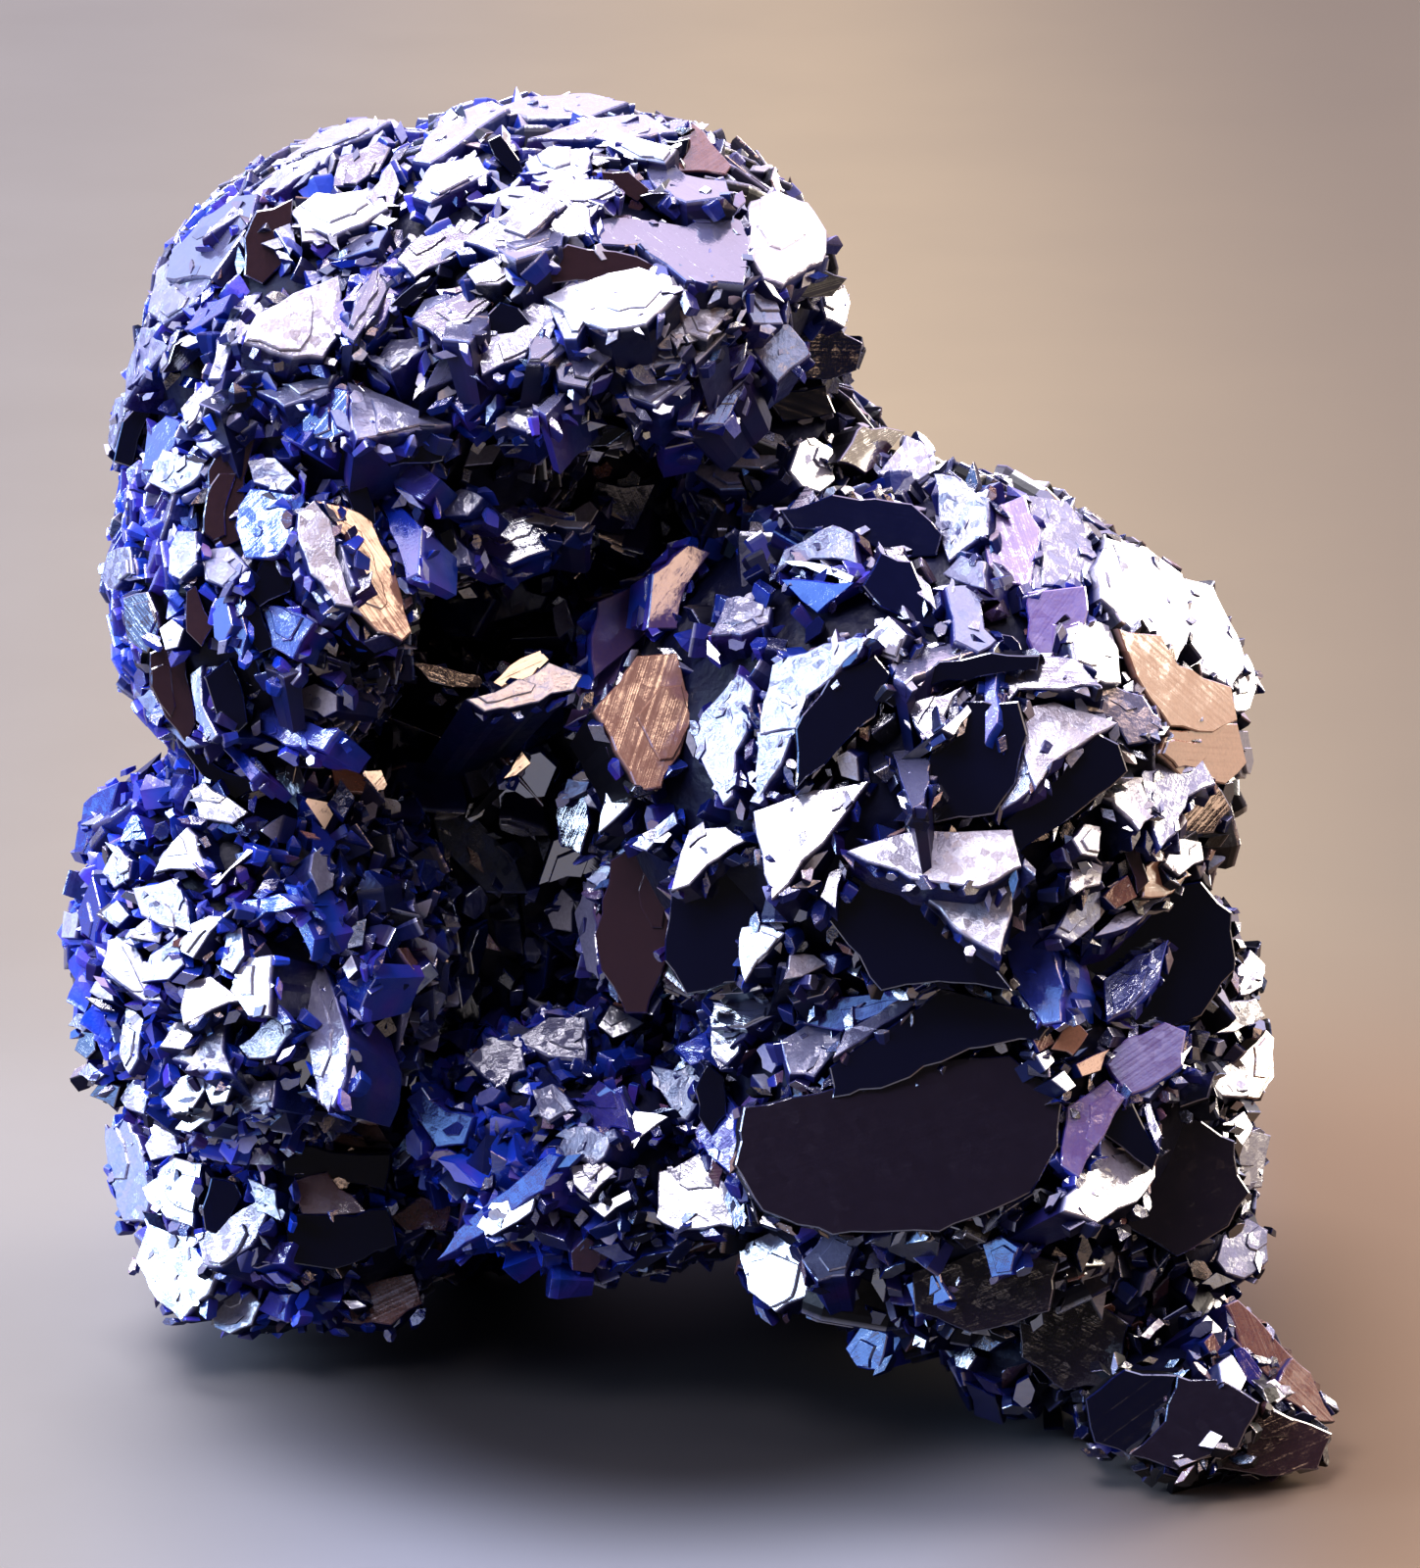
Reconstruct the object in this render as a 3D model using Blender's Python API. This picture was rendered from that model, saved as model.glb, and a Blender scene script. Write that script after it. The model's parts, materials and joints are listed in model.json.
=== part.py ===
"""Azurite specimen: bladed crystals grown together in rounded lobes, made as one solid.

Metres, +Z up, the resting plane at z = 0. The side on show looks along -Y.
"""
import math
import random

import bmesh
import bpy
from mathutils import Matrix, Vector

MM = 0.001
SEED = 41
# Brings the middle of the finished specimen's box over the origin, in mm.
PLAN_SHIFT = Vector((0.455, -1.425, 0.0))

# The point the specimen is shown from: straight in front of it and a little above.
SHOW_LIFT = math.radians(18.0)
SHOW_DISTANCE = 250.0
SHOW_CENTRE = Vector((0.0, 0.0, 21.0))
SHOW_CENTRE_UP = 23.7
ACROSS = Vector((1.0, 0.0, 0.0))
UP = Vector((0.0, math.sin(SHOW_LIFT), math.cos(SHOW_LIFT)))
TOWARD = Vector((0.0, -math.cos(SHOW_LIFT), math.sin(SHOW_LIFT)))
EYE = SHOW_CENTRE + TOWARD * SHOW_DISTANCE

# Lobes: centre and radii in mm. The crystals stand on them and hide them.
LOBES = {
    "crown": ((-4.9, 1.5, 36.8), (9.2, 8.8, 5.6)),
    "dome": ((-11.0, 1.5, 34.2), (7.9, 8.6, 8.0)),
    "bowl": ((-14.2, -0.5, 27.4), (5.2, 7.2, 7.1)),
    "shoulder": ((6.9, -2.5, 21.5), (10.3, 9.6, 9.6)),
    "belly": ((8.5, -3.0, 11.3), (9.4, 9.2, 9.0)),
    "hip": ((13.2, -3.8, 6.8), (4.9, 5.6, 4.2)),
    "druse": ((-14.3, -2.0, 15.4), (6.1, 6.7, 6.9)),
    "foot": ((-13.3, 1.8, 4.8), (5.6, 5.6, 4.0)),
    "knot": ((-3.1, -1.0, 8.2), (6.5, 6.6, 4.2)),
    "neck": ((2.6, 3.0, 30.0), (3.8, 4.6, 3.4)),
    "heel": ((11.6, -5.6, 2.9), (3.9, 3.9, 2.7)),
    "tail": ((15.7, -9.2, 2.1), (3.7, 3.4, 2.5)),
    "back_top": ((-6.0, 7.6, 30.6), (9.0, 7.0, 8.6)),
    "back_left": ((-8.0, 8.0, 13.8), (9.0, 7.6, 13.2)),
    "back_right": ((7.5, 8.0, 12.8), (9.0, 7.6, 12.7)),
    "middle": ((-1.0, 6.6, 19.0), (8.6, 6.0, 10.6)),
}
CORE_SUNK = 0.3
CORE_FINENESS = 1
SEAT_DEPTH = 1.6
ROOT_SHARE = 0.35

# Outlines of the crystals' broad faces, on a half length and half width of 1.
OUTLINES = {
    "lens": ((1, 0), (0.75, 0.55), (0.25, 0.9), (-0.35, 0.92), (-0.85, 0.4), (-0.9, -0.3),
             (-0.3, -0.9), (0.45, -0.8)),
    "blade": ((1, -0.1), (0.62, 0.85), (-0.6, 0.95), (-1, 0.1), (-0.62, -0.9), (0.55, -0.95)),
    "kite": ((1, 0.1), (0.05, 0.95), (-0.95, 0.3), (-0.2, -0.95)),
    "wedge": ((1, 0.15), (-0.75, 1), (-0.85, -0.95)),
    "tile": ((0.95, 0.6), (-0.7, 0.95), (-1, -0.35), (-0.3, -1), (0.85, -0.75)),
    "disc": ((1, 0.2), (0.65, 0.8), (-0.1, 1), (-0.8, 0.65), (-1, -0.15), (-0.6, -0.85),
             (0.2, -1), (0.85, -0.6)),
}
EDGE_SCALE = 1.16
EDGE_DROP = 0.35
ROOT_SCALE = 0.95
BEVEL_FROM = 3.0

# The crystals that are placed one by one. Each row: name, across and up on the plane facing
# the show point (mm), the turn and lift of its broad face (degrees), the direction its length
# runs (degrees), length and width as seen (mm), outline, and how far it stands out (mm).
DOME_CRYSTALS = (
    ("lilac_tile", -11.6, 43.3, -20, 50, 35, 3.2, 1.9, "tile", 0.3),
    ("white_tile", -11.9, 41.4, 15, 38, 25, 3.1, 1.7, "tile", 0.4),
    ("gold_blade", -13.4, 38.1, 33, 25, 35, 3.9, 2.3, "lens", 0.6),
    ("steep_blade", -10.9, 39.2, -10, 38, 68, 4.2, 1.6, "blade", 0.5),
    ("lilac_ledge", -0.8, 40.5, -5, 48, 20, 5.6, 2.3, "blade", 0.6),
    ("cream_ledge", -2.1, 38.3, 18, 32, -4, 6.1, 2.0, "blade", 0.7),
    ("red_tile", -0.0, 43.8, 45, 10, -20, 2.0, 1.8, "tile", 0.4),
    ("cream_plate", 2.8, 40.9, 50, 25, 60, 3.4, 2.4, "lens", 0.4),
    ("dark_flank", 3.6, 37.2, 60, -20, 20, 3.5, 2.4, "tile", 0.4),
    ("dark_blade", -5.2, 35.2, -8, -18, 38, 4.8, 1.7, "lens", 0.7),
    ("white_wedge", -9.9, 35.0, -15, 40, -20, 3.6, 1.9, "wedge", 0.7),
    ("peach_lens", -11.4, 29.6, 22, 4, -60, 5.1, 2.4, "lens", 0.9),
    ("slate_tile", -13.8, 27.8, -20, -10, 30, 2.6, 1.9, "tile", 0.4),
    ("steel_tile", -14.3, 31.3, -34, 5, 60, 3.1, 2.3, "tile", 0.5),
    ("blue_blade", -10.2, 31.7, -35, 10, -60, 4.2, 1.4, "kite", 0.5),
    ("violet_tile", -6.2, 31.3, 8, -12, 5, 3.6, 1.5, "kite", 0.4),
    ("low_blade", -3.7, 33.1, -5, -35, 20, 4.5, 1.9, "blade", 0.3),
    ("curl_1", -17.9, 26.0, -45, -10, -68, 4.8, 1.4, "blade", 0.4),
    ("curl_2", -16.4, 24.9, -40, -12, -62, 4.8, 1.4, "blade", 0.6),
    ("curl_3", -14.6, 24.0, -25, -20, -48, 4.8, 1.4, "blade", 0.5),
    ("curl_4", -12.7, 25.4, -34, 10, -30, 1.9, 1.3, "lens", 0.5),
)
RECESS_CRYSTALS = (
    ("gold_shelf", -5.9, 26.1, 22, 32, 15, 4.0, 1.7, "lens", 4.5),
)
SHOULDER_CRYSTALS = (
    ("salmon_block", -1.9, 28.9, 20, 4, 45, 4.2, 2.9, "disc", 0.3),
    ("peach_plate", -1.8, 24.9, 20, 5, 82, 4.7, 3.1, "lens", 0.5),
    ("white_sword", 0.6, 24.3, -33, 10, 78, 4.5, 1.7, "blade", 0.5),
    ("arched_blade", 3.7, 24.9, -34, 8, 66, 5.8, 3.0, "lens", 0.9),
    ("speckled_tile", 1.3, 28.4, -10, 40, 10, 2.0, 1.4, "tile", 0.3),
    ("brown_peak", 5.6, 34.0, 60, 10, 60, 2.3, 1.5, "kite", 0.6),
    ("tall_plate", 8.5, 31.0, -30, 15, 82, 3.8, 1.7, "blade", 0.6),
    ("mauve_block", 11.0, 30.7, 38, 32, 20, 3.6, 3.2, "disc", 0.5),
    ("bright_band", 15.6, 28.0, 47, 30, -42, 6.3, 3.0, "blade", 0.5),
    ("cream_slab", 15.8, 25.3, 52, 5, -60, 4.2, 3.2, "tile", 0.3),
    ("tan_wedge", 12.2, 24.1, 40, 15, 45, 3.2, 2.8, "wedge", 0.6),
    ("lilac_wedge", 7.0, 24.3, -15, 40, -70, 3.5, 1.9, "wedge", 0.5),
    ("black_slab", 9.5, 23.5, 8, -25, 60, 4.8, 2.6, "blade", 0.4),
    ("black_slab_2", 5.3, 22.8, 5, -28, 50, 4.8, 2.6, "kite", 0.3),
    ("blue_top", 4.0, 30.5, -12, 38, 10, 3.5, 1.9, "blade", 0.4),
)
BELLY_CRYSTALS = (
    ("dark_disc", -2.3, 18.2, -10, -14, 86, 5.9, 2.5, "disc", 0.5),
    ("white_fin", 0.3, 20.3, -22, 34, 10, 2.7, 2.1, "wedge", 0.7),
    ("great_wedge", 3.3, 20.9, -26, 30, 40, 4.1, 3.6, "wedge", 1.0),
    ("lilac_step", 1.3, 14.4, -32, 14, 78, 3.9, 2.3, "tile", 0.6),
    ("cream_wedge", 9.3, 19.5, 40, 24, -50, 7.1, 3.9, "wedge", 0.9),
    ("under_wedge", 7.4, 17.2, -5, -30, -40, 5.8, 3.5, "kite", 0.3),
    ("dark_round", 14.4, 17.1, 12, -22, 20, 6.3, 4.5, "disc", 0.5),
    ("charcoal_plate", 5.9, 11.2, -4, -16, 16, 12.5, 6.3, "lens", 0.9),
    ("cream_fin", 13.4, 9.8, 46, 25, 32, 2.9, 2.3, "tile", 0.8),
    ("dark_cheek", 16.0, 9.0, 22, -16, 80, 5.8, 3.9, "tile", 0.4),
    ("group_wedge", 14.0, 19.6, 42, 20, 40, 3.9, 2.6, "tile", 0.3),
)
KNOT_CRYSTALS = (
    ("long_rod", -6.8, 9.0, -35, 5, 43, 5.3, 1.2, "blade", 0.7),
    ("blue_fin", -0.5, 12.3, -33, 5, 70, 3.1, 2.6, "kite", 0.5),
    ("pink_tile", -0.0, 9.5, -12, 36, 30, 2.8, 2.4, "tile", 0.6),
    ("white_shield", 2.4, 6.7, -32, 10, 20, 2.7, 2.5, "disc", 0.7),
    ("star_3", -3.6, 10.1, -30, 15, 50, 2.6, 2.4, "tile", 0.5),
)
DRUSE_CRYSTALS = (
    ("tall_blue", -12.5, 14.5, -34, 8, 86, 4.8, 1.7, "blade", 0.8),
    ("druse_tile", -15.8, 22.2, -10, 40, 15, 2.1, 1.2, "tile", 0.4),
    ("cluster_white", -16.5, 12.3, -30, 12, 30, 2.1, 1.9, "tile", 0.5),
)
FOOT_CRYSTALS = (
    ("white_heel", -17.2, 6.9, -34, 9, 70, 3.3, 2.8, "disc", 0.6),
    ("white_toe", -15.3, 5.6, -34, 9, 60, 1.7, 1.6, "disc", 0.6),
    ("pale_1", -18.3, 10.4, -50, 18, 80, 3.5, 2.1, "tile", 0.4),
    ("pale_2", -16.1, 9.5, -36, 22, 30, 3.2, 1.8, "blade", 0.5),
    ("pale_3", -15.6, 11.1, -20, 34, 10, 3.3, 1.7, "blade", 0.5),
    ("taupe_wedge", -11.3, 11.5, 12, 40, 10, 2.7, 1.5, "wedge", 0.5),
    ("dark_heel", -12.3, 8.4, 10, -10, 20, 3.9, 2.9, "tile", 0.4),
)
TAIL_CRYSTALS = (
    ("mauve_ridge", 18.9, 3.6, 45, 22, -47, 5.3, 2.0, "blade", 0.6),
    ("tail_front", 16.7, 2.3, 2, -20, -14, 6.9, 3.5, "blade", 0.5),
    ("lilac_bead", 17.7, 7.6, 40, 20, 30, 1.8, 1.7, "disc", 0.7),
    ("tail_root", 12.7, 3.7, -6, -22, -25, 4.8, 2.9, "kite", 0.4),
    ("under_belly", 9.1, 5.8, -6, -25, 10, 5.5, 2.6, "tile", 0.4),
)
PLACED = (
    (("crown", "dome", "bowl"), DOME_CRYSTALS),
    (("middle", "back_top"), RECESS_CRYSTALS),
    (("shoulder", "neck"), SHOULDER_CRYSTALS),
    (("belly", "hip", "shoulder"), BELLY_CRYSTALS),
    (("knot", "belly"), KNOT_CRYSTALS),
    (("druse",), DRUSE_CRYSTALS),
    (("foot",), FOOT_CRYSTALS),
    (("tail", "heel", "hip", "belly"), TAIL_CRYSTALS),
)

# Crystals that follow a rule: for each lobe the spacing on the side on show and behind (mm),
# the length and width as a share of the spacing, the lean of the broad face off the lobe's
# surface (degrees), and the point that the rows of blades curl round.
FILL = {
    "crown": (4.2, 6.8, 1.25, 0.85, 13, (-2.0, -12.0, 29.0)),
    "dome": (4.2, 6.8, 1.25, 0.85, 13, (-5.0, -12.0, 27.5)),
    "bowl": (3.8, 6.6, 1.45, 0.80, 18, (-8.0, -12.0, 27.5)),
    "shoulder": (4.5, 7.3, 1.2, 0.90, 26, (4.0, -16.0, 12.0)),
    "belly": (4.5, 7.3, 1.2, 0.90, 24, (4.0, -16.0, 12.0)),
    "hip": (4.0, 6.0, 1.2, 0.90, 24, (10.0, -16.0, 0.0)),
    "druse": (3.7, 6.2, 1.2, 0.90, 26, (-14.0, -14.0, 10.0)),
    "foot": (3.7, 6.2, 1.2, 0.90, 22, (-14.0, -14.0, 0.0)),
    "knot": (3.7, 6.2, 1.2, 0.90, 24, (-3.0, -14.0, 0.0)),
    "neck": (3.8, 5.6, 1.3, 0.85, 18, (-2.0, -12.0, 29.0)),
    "heel": (3.6, 5.0, 1.3, 0.85, 18, (8.0, -20.0, -4.0)),
    "tail": (3.6, 4.6, 1.4, 0.85, 16, (14.0, -20.0, -6.0)),
    "back_top": (6.4, 7.3, 1.3, 0.90, 18, (0.0, 20.0, 20.0)),
    "back_left": (6.4, 7.3, 1.3, 0.90, 22, (0.0, 24.0, 10.0)),
    "back_right": (6.4, 7.3, 1.3, 0.90, 22, (0.0, 24.0, 10.0)),
    "middle": (5.8, 7.3, 1.2, 0.90, 16, (0.0, -16.0, 10.0)),
}
# Crystals that the specimen stands on: place on the floor, direction of the length (degrees),
# length and width (mm). They reach a little below the resting plane, which cuts them flat.
STANDING = (
    ((-13.4, 2.6), 20, 3.2, 2.4),
    ((15.6, -9.8), -35, 3.6, 2.4),
    ((8.2, 8.0), 60, 3.4, 2.6),
    ((-8.0, 9.0), 100, 3.4, 2.6),
)
STANDING_REACH = 0.4
STANDING_ROOT = 4.0
FILL_OUTLINES = ("kite", "tile", "blade", "kite", "wedge")
FILL_RISE = (-0.3, 0.3)
PLACED_CLEARANCE = 0.42
BURIED_SHARE = 0.93
LOWEST_FILL = 0.3

FLOOR_BOX = (80.0, 80.0, 40.0)
COLOUR = (0.012, 0.03, 0.20, 1.0)
ROUGHNESS = 0.12
NODE_NAME = "azurite_cluster"


def clear_scene():
    """Remove whatever the new scene holds."""
    for item in list(bpy.data.objects):
        bpy.data.objects.remove(item)


def make_collection(name):
    """Add a collection to the scene."""
    group = bpy.data.collections.new(name)
    bpy.context.scene.collection.children.link(group)
    return group


def make_material():
    """Dark blue, glossy crystal."""
    material = bpy.data.materials.new("azurite")
    material.use_nodes = True
    shader = material.node_tree.nodes["Principled BSDF"]
    shader.inputs["Base Color"].default_value = COLOUR
    shader.inputs["Roughness"].default_value = ROUGHNESS
    shader.inputs["Metallic"].default_value = 0.0
    return material


def make_object(name, shape, group, material=None):
    """Turn a bmesh into an object of the given collection."""
    mesh = bpy.data.meshes.new(name)
    shape.to_mesh(mesh)
    shape.free()
    item = bpy.data.objects.new(name, mesh)
    group.objects.link(item)
    if material:
        mesh.materials.append(material)
    return item


def spiral_directions(count):
    """Directions spread evenly over a sphere."""
    turn = math.pi * (3.0 - math.sqrt(5.0))
    for index in range(count):
        height = 1.0 - 2.0 * (index + 0.5) / count
        width = math.sqrt(1.0 - height * height)
        angle = index * turn
        yield Vector((width * math.cos(angle), width * math.sin(angle), height))


def depth_in_lobe(point, lobe):
    """Share of the way from a lobe's centre to its surface, 1 on the surface."""
    centre, radii = LOBES[lobe]
    away = [(point[axis] - centre[axis]) / radii[axis] for axis in range(3)]
    return math.sqrt(sum(value * value for value in away))


def lobe_normal(point, lobe):
    """Outward direction of a lobe's surface at a point of it."""
    centre, radii = LOBES[lobe]
    away = [(point[axis] - centre[axis]) / radii[axis] ** 2 for axis in range(3)]
    return Vector(away).normalized()


def first_hit(across, up, lobes):
    """Where the line of sight through a place on the show plane first meets one of the lobes."""
    target = SHOW_CENTRE + ACROSS * across + UP * (up - SHOW_CENTRE_UP)
    sight = (target - EYE).normalized()
    best = None
    for lobe in lobes:
        centre, radii = LOBES[lobe]
        start = Vector([(EYE[axis] - centre[axis]) / radii[axis] for axis in range(3)])
        step = Vector([sight[axis] / radii[axis] for axis in range(3)])
        a_term = step.dot(step)
        b_term = start.dot(step)
        root = b_term * b_term - a_term * (start.dot(start) - 1.0)
        if root < 0.0:
            continue
        distance = (-b_term - math.sqrt(root)) / a_term
        if best is None or distance < best[0]:
            best = (distance, lobe)
    if best is None:
        return nearest_to_sight(sight, lobes)
    point = EYE + sight * best[0]
    return point, lobe_normal(point, best[1])


def nearest_to_sight(sight, lobes):
    """The lobe surface point that comes nearest to a line of sight that misses them all."""
    best = None
    for lobe in lobes:
        to_centre = Vector(LOBES[lobe][0]) - EYE
        near = EYE + sight * to_centre.dot(sight)
        share = depth_in_lobe(near, lobe)
        if best is None or share < best[0]:
            best = (share, lobe, near)
    share, lobe, near = best
    centre = Vector(LOBES[lobe][0])
    point = centre + (near - centre) / share
    return point, lobe_normal(point, lobe)


def seen_axes(turn, lift, roll):
    """Length, width and face directions of a crystal placed as it is seen.

    Also gives how much longer its length and width are than they look.
    """
    turn = math.radians(turn)
    lift = math.radians(lift)
    roll = math.radians(roll)
    face = (ACROSS * math.sin(turn) * math.cos(lift) + UP * math.sin(lift)
            + TOWARD * math.cos(turn) * math.cos(lift))
    seen = ACROSS * math.cos(roll) + UP * math.sin(roll)
    along = seen - TOWARD * (seen.dot(face) / TOWARD.dot(face))
    stretch = along.length
    along.normalize()
    side = face.cross(along)
    seen_side = side - TOWARD * side.dot(TOWARD)
    widen = 1.0 / max(0.55, abs(seen_side.dot(face_side(seen))))
    return along, side, face, min(stretch, 1.7), widen


def face_side(seen):
    """Direction on the show plane square to the given one."""
    return TOWARD.cross(seen).normalized()


def add_crystal(shape, crystal):
    """Add one crystal: a bevelled plate whose root is sunk in the lobe."""
    centre = crystal["centre"]
    along = crystal["along"] * crystal["length"] * 0.5
    side = crystal["side"] * crystal["width"] * 0.5
    face = crystal["face"]
    small = min(crystal["length"], crystal["width"])
    drop = EDGE_DROP * small * 0.5
    rings = [(1.0, 0.0), (ROOT_SCALE, -drop - crystal["root"])]
    if crystal["bevelled"]:
        rings.insert(1, (EDGE_SCALE, -drop))
    corners = []
    for scale, height in rings:
        for across, up in crystal["outline"]:
            spot = centre + along * across * scale + side * up * scale + face * height
            corners.append(shape.verts.new(spot))
    bmesh.ops.convex_hull(shape, input=corners)
    for corner in corners:
        if not corner.link_faces:
            shape.verts.remove(corner)


def placed_crystals():
    """The crystals listed one by one, seated on the lobes."""
    for lobes, rows in PLACED:
        for name, across, up, turn, lift, roll, length, width, outline, stand in rows:
            point, outward = first_hit(across, up, lobes)
            along, side, face, stretch, widen = seen_axes(turn, lift, roll)
            yield {
                "name": name,
                "centre": point + TOWARD * stand,
                "along": along,
                "side": side,
                "face": face,
                "length": length * stretch,
                "width": width * widen,
                "root": SEAT_DEPTH + ROOT_SHARE * min(length, width) + stand,
                "outline": OUTLINES[outline],
                "bevelled": min(length, width) > BEVEL_FROM,
            }


def standing_crystals():
    """The crystals under the specimen, their broad faces down."""
    for (across, back), roll, length, width in STANDING:
        angle = math.radians(roll)
        along = Vector((math.cos(angle), math.sin(angle), 0.0))
        face = Vector((0.0, 0.0, -1.0))
        yield {
            "name": "standing",
            "centre": Vector((across, back, -STANDING_REACH)),
            "along": along,
            "side": face.cross(along),
            "face": face,
            "length": length,
            "width": width,
            "root": STANDING_ROOT,
            "outline": OUTLINES["tile"],
            "bevelled": False,
        }


def is_buried(point, own_lobe):
    """Whether another lobe covers this place."""
    return any(lobe != own_lobe and depth_in_lobe(point, lobe) < BURIED_SHARE
               for lobe in LOBES)


def is_taken(point, placed):
    """Whether a listed crystal already stands here."""
    for crystal in placed:
        away = point - crystal["centre"]
        reach_along = abs(away.dot(crystal["along"])) / (crystal["length"] * 0.5)
        reach_side = abs(away.dot(crystal["side"])) / (crystal["width"] * 0.5)
        reach_face = abs(away.dot(crystal["face"])) / 3.0
        if math.hypot(reach_along, reach_side) < 1.0 + PLACED_CLEARANCE and reach_face < 1.0:
            return True
    return False


def varied_outline(rng):
    """One of the fill outlines with its corners moved a little."""
    corners = OUTLINES[rng.choice(FILL_OUTLINES)]
    flip = rng.choice((-1.0, 1.0))
    moved = []
    for across, up in corners:
        scale = rng.uniform(0.86, 1.08)
        moved.append((across * scale, up * scale * flip))
    return moved


def leaning_axes(outward, curl_centre, point, lean, rng):
    """Directions of a blade that leans off the lobe and runs in an arc round a point."""
    to_curl = (Vector(curl_centre) - point).normalized()
    along = outward.cross(to_curl)
    if along.length < 0.2:
        along = outward.orthogonal()
    along.normalize()
    along.rotate(Matrix.Rotation(math.radians(rng.gauss(0.0, 16.0)), 3, outward))
    angle = math.radians(lean + rng.gauss(0.0, 0.45 * lean))
    face = outward.copy()
    face.rotate(Matrix.Rotation(angle, 3, along))
    face.rotate(Matrix.Rotation(math.radians(rng.gauss(0.0, 10.0)), 3, outward.cross(along)))
    along = (along - face * along.dot(face)).normalized()
    return along, face.cross(along), face


def fill_crystals(placed):
    """The crystals that cover the rest of every lobe."""
    rng = random.Random(SEED)
    for lobe, (front, behind, long_share, wide_share, lean, curl) in FILL.items():
        centre, radii = LOBES[lobe]
        area = 4.0 * math.pi * (sum(radii) / 3.0) ** 2
        for spacing, is_front in ((front, True), (behind, False)):
            for direction in spiral_directions(int(area / spacing ** 2)):
                point = Vector([centre[axis] + radii[axis] * direction[axis]
                                for axis in range(3)])
                outward = lobe_normal(point, lobe)
                if (outward.dot(TOWARD) > -0.12) != is_front:
                    continue
                if point.z < LOWEST_FILL or is_buried(point, lobe) or is_taken(point, placed):
                    continue
                along, side, face = leaning_axes(outward, curl, point, lean, rng)
                size = spacing * rng.uniform(0.85, 1.2)
                yield {
                    "name": lobe,
                    "centre": point + outward * rng.uniform(*FILL_RISE),
                    "along": along,
                    "side": side,
                    "face": face,
                    "length": size * long_share,
                    "width": size * wide_share,
                    "root": SEAT_DEPTH + ROOT_SHARE * size,
                    "outline": varied_outline(rng),
                    "bevelled": False,
                }


def crystal_shapes():
    """All crystals in one shape, each a closed convex body."""
    placed = list(placed_crystals()) + list(standing_crystals())
    filled = list(fill_crystals(placed))
    shape = bmesh.new()
    for crystal in placed + filled:
        add_crystal(shape, crystal)
    print("crystals placed", len(placed), "by rule", len(filled))
    return shape


def core_shape():
    """The lobes as rounded bodies under the crystals."""
    shape = bmesh.new()
    for centre, radii in LOBES.values():
        ball = bmesh.ops.create_icosphere(shape, subdivisions=CORE_FINENESS, radius=1.0)
        sunk = [radius - CORE_SUNK for radius in radii]
        place = Matrix.Translation(centre) @ Matrix.Diagonal((*sunk, 1.0))
        bmesh.ops.transform(shape, matrix=place, verts=ball["verts"])
    return shape


def in_metres(shape):
    """Move a shape over the origin and scale it from millimetres to metres."""
    bmesh.ops.translate(shape, vec=PLAN_SHIFT, verts=shape.verts)
    bmesh.ops.scale(shape, vec=(MM, MM, MM), verts=shape.verts)
    return shape


def floor_cutter(group):
    """Box that takes away everything below the resting plane."""
    shape = bmesh.new()
    bmesh.ops.create_cube(shape, size=1.0)
    place = Matrix.Translation((0.0, 0.0, -FLOOR_BOX[2] / 2.0)) @ Matrix.Diagonal((*FLOOR_BOX, 1.0))
    bmesh.ops.transform(shape, matrix=place, verts=shape.verts)
    item = make_object("floor_cutter", in_metres(shape), group)
    item.hide_render = True
    item.display_type = "WIRE"
    return item


def add_boolean(item, other, operation):
    """Join or cut one object with another."""
    modifier = item.modifiers.new(operation.lower(), "BOOLEAN")
    modifier.operation = operation
    modifier.object = other
    modifier.solver = "EXACT"
    modifier.use_self = operation == "UNION"
    return modifier


def bake(item):
    """Replace an object's mesh by its mesh with the modifiers applied."""
    graph = bpy.context.evaluated_depsgraph_get()
    finished = bpy.data.meshes.new_from_object(item.evaluated_get(graph))
    item.modifiers.clear()
    item.data = finished


def face_groups(shape):
    """Faces that hang together, one list for each body or hollow."""
    seen = set()
    for start in shape.faces:
        if start in seen:
            continue
        seen.add(start)
        waiting = [start]
        group = []
        while waiting:
            face = waiting.pop()
            group.append(face)
            for edge in face.edges:
                for other in edge.link_faces:
                    if other not in seen:
                        seen.add(other)
                        waiting.append(other)
        yield group


def keep_outer_skin(item):
    """Fill every closed hollow between the crystals, so that the solid has one skin."""
    shape = bmesh.new()
    shape.from_mesh(item.data)
    groups = sorted(face_groups(shape), key=len)
    inner = [face for group in groups[:-1] for face in group]
    print("skins", len(groups), "inner faces", len(inner))
    bmesh.ops.delete(shape, geom=inner, context="FACES")
    shape.to_mesh(item.data)
    shape.free()


def build():
    """Make the specimen."""
    clear_scene()
    group = make_collection("azurite_specimen")
    cutters = make_collection("cutters")
    material = make_material()
    crystals = make_object("crystals", in_metres(crystal_shapes()), cutters)
    crystals.hide_render = True
    crystals.display_type = "WIRE"
    cluster = make_object(NODE_NAME, in_metres(core_shape()), group, material)
    add_boolean(cluster, crystals, "UNION")
    bake(cluster)
    keep_outer_skin(cluster)
    add_boolean(cluster, floor_cutter(cutters), "DIFFERENCE")
    bake(cluster)
    keep_outer_skin(cluster)
    print("faces", len(cluster.data.polygons))


build()
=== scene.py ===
import json
import math
import random
import zlib

import bmesh
import bpy
from mathutils import Matrix, Vector

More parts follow.
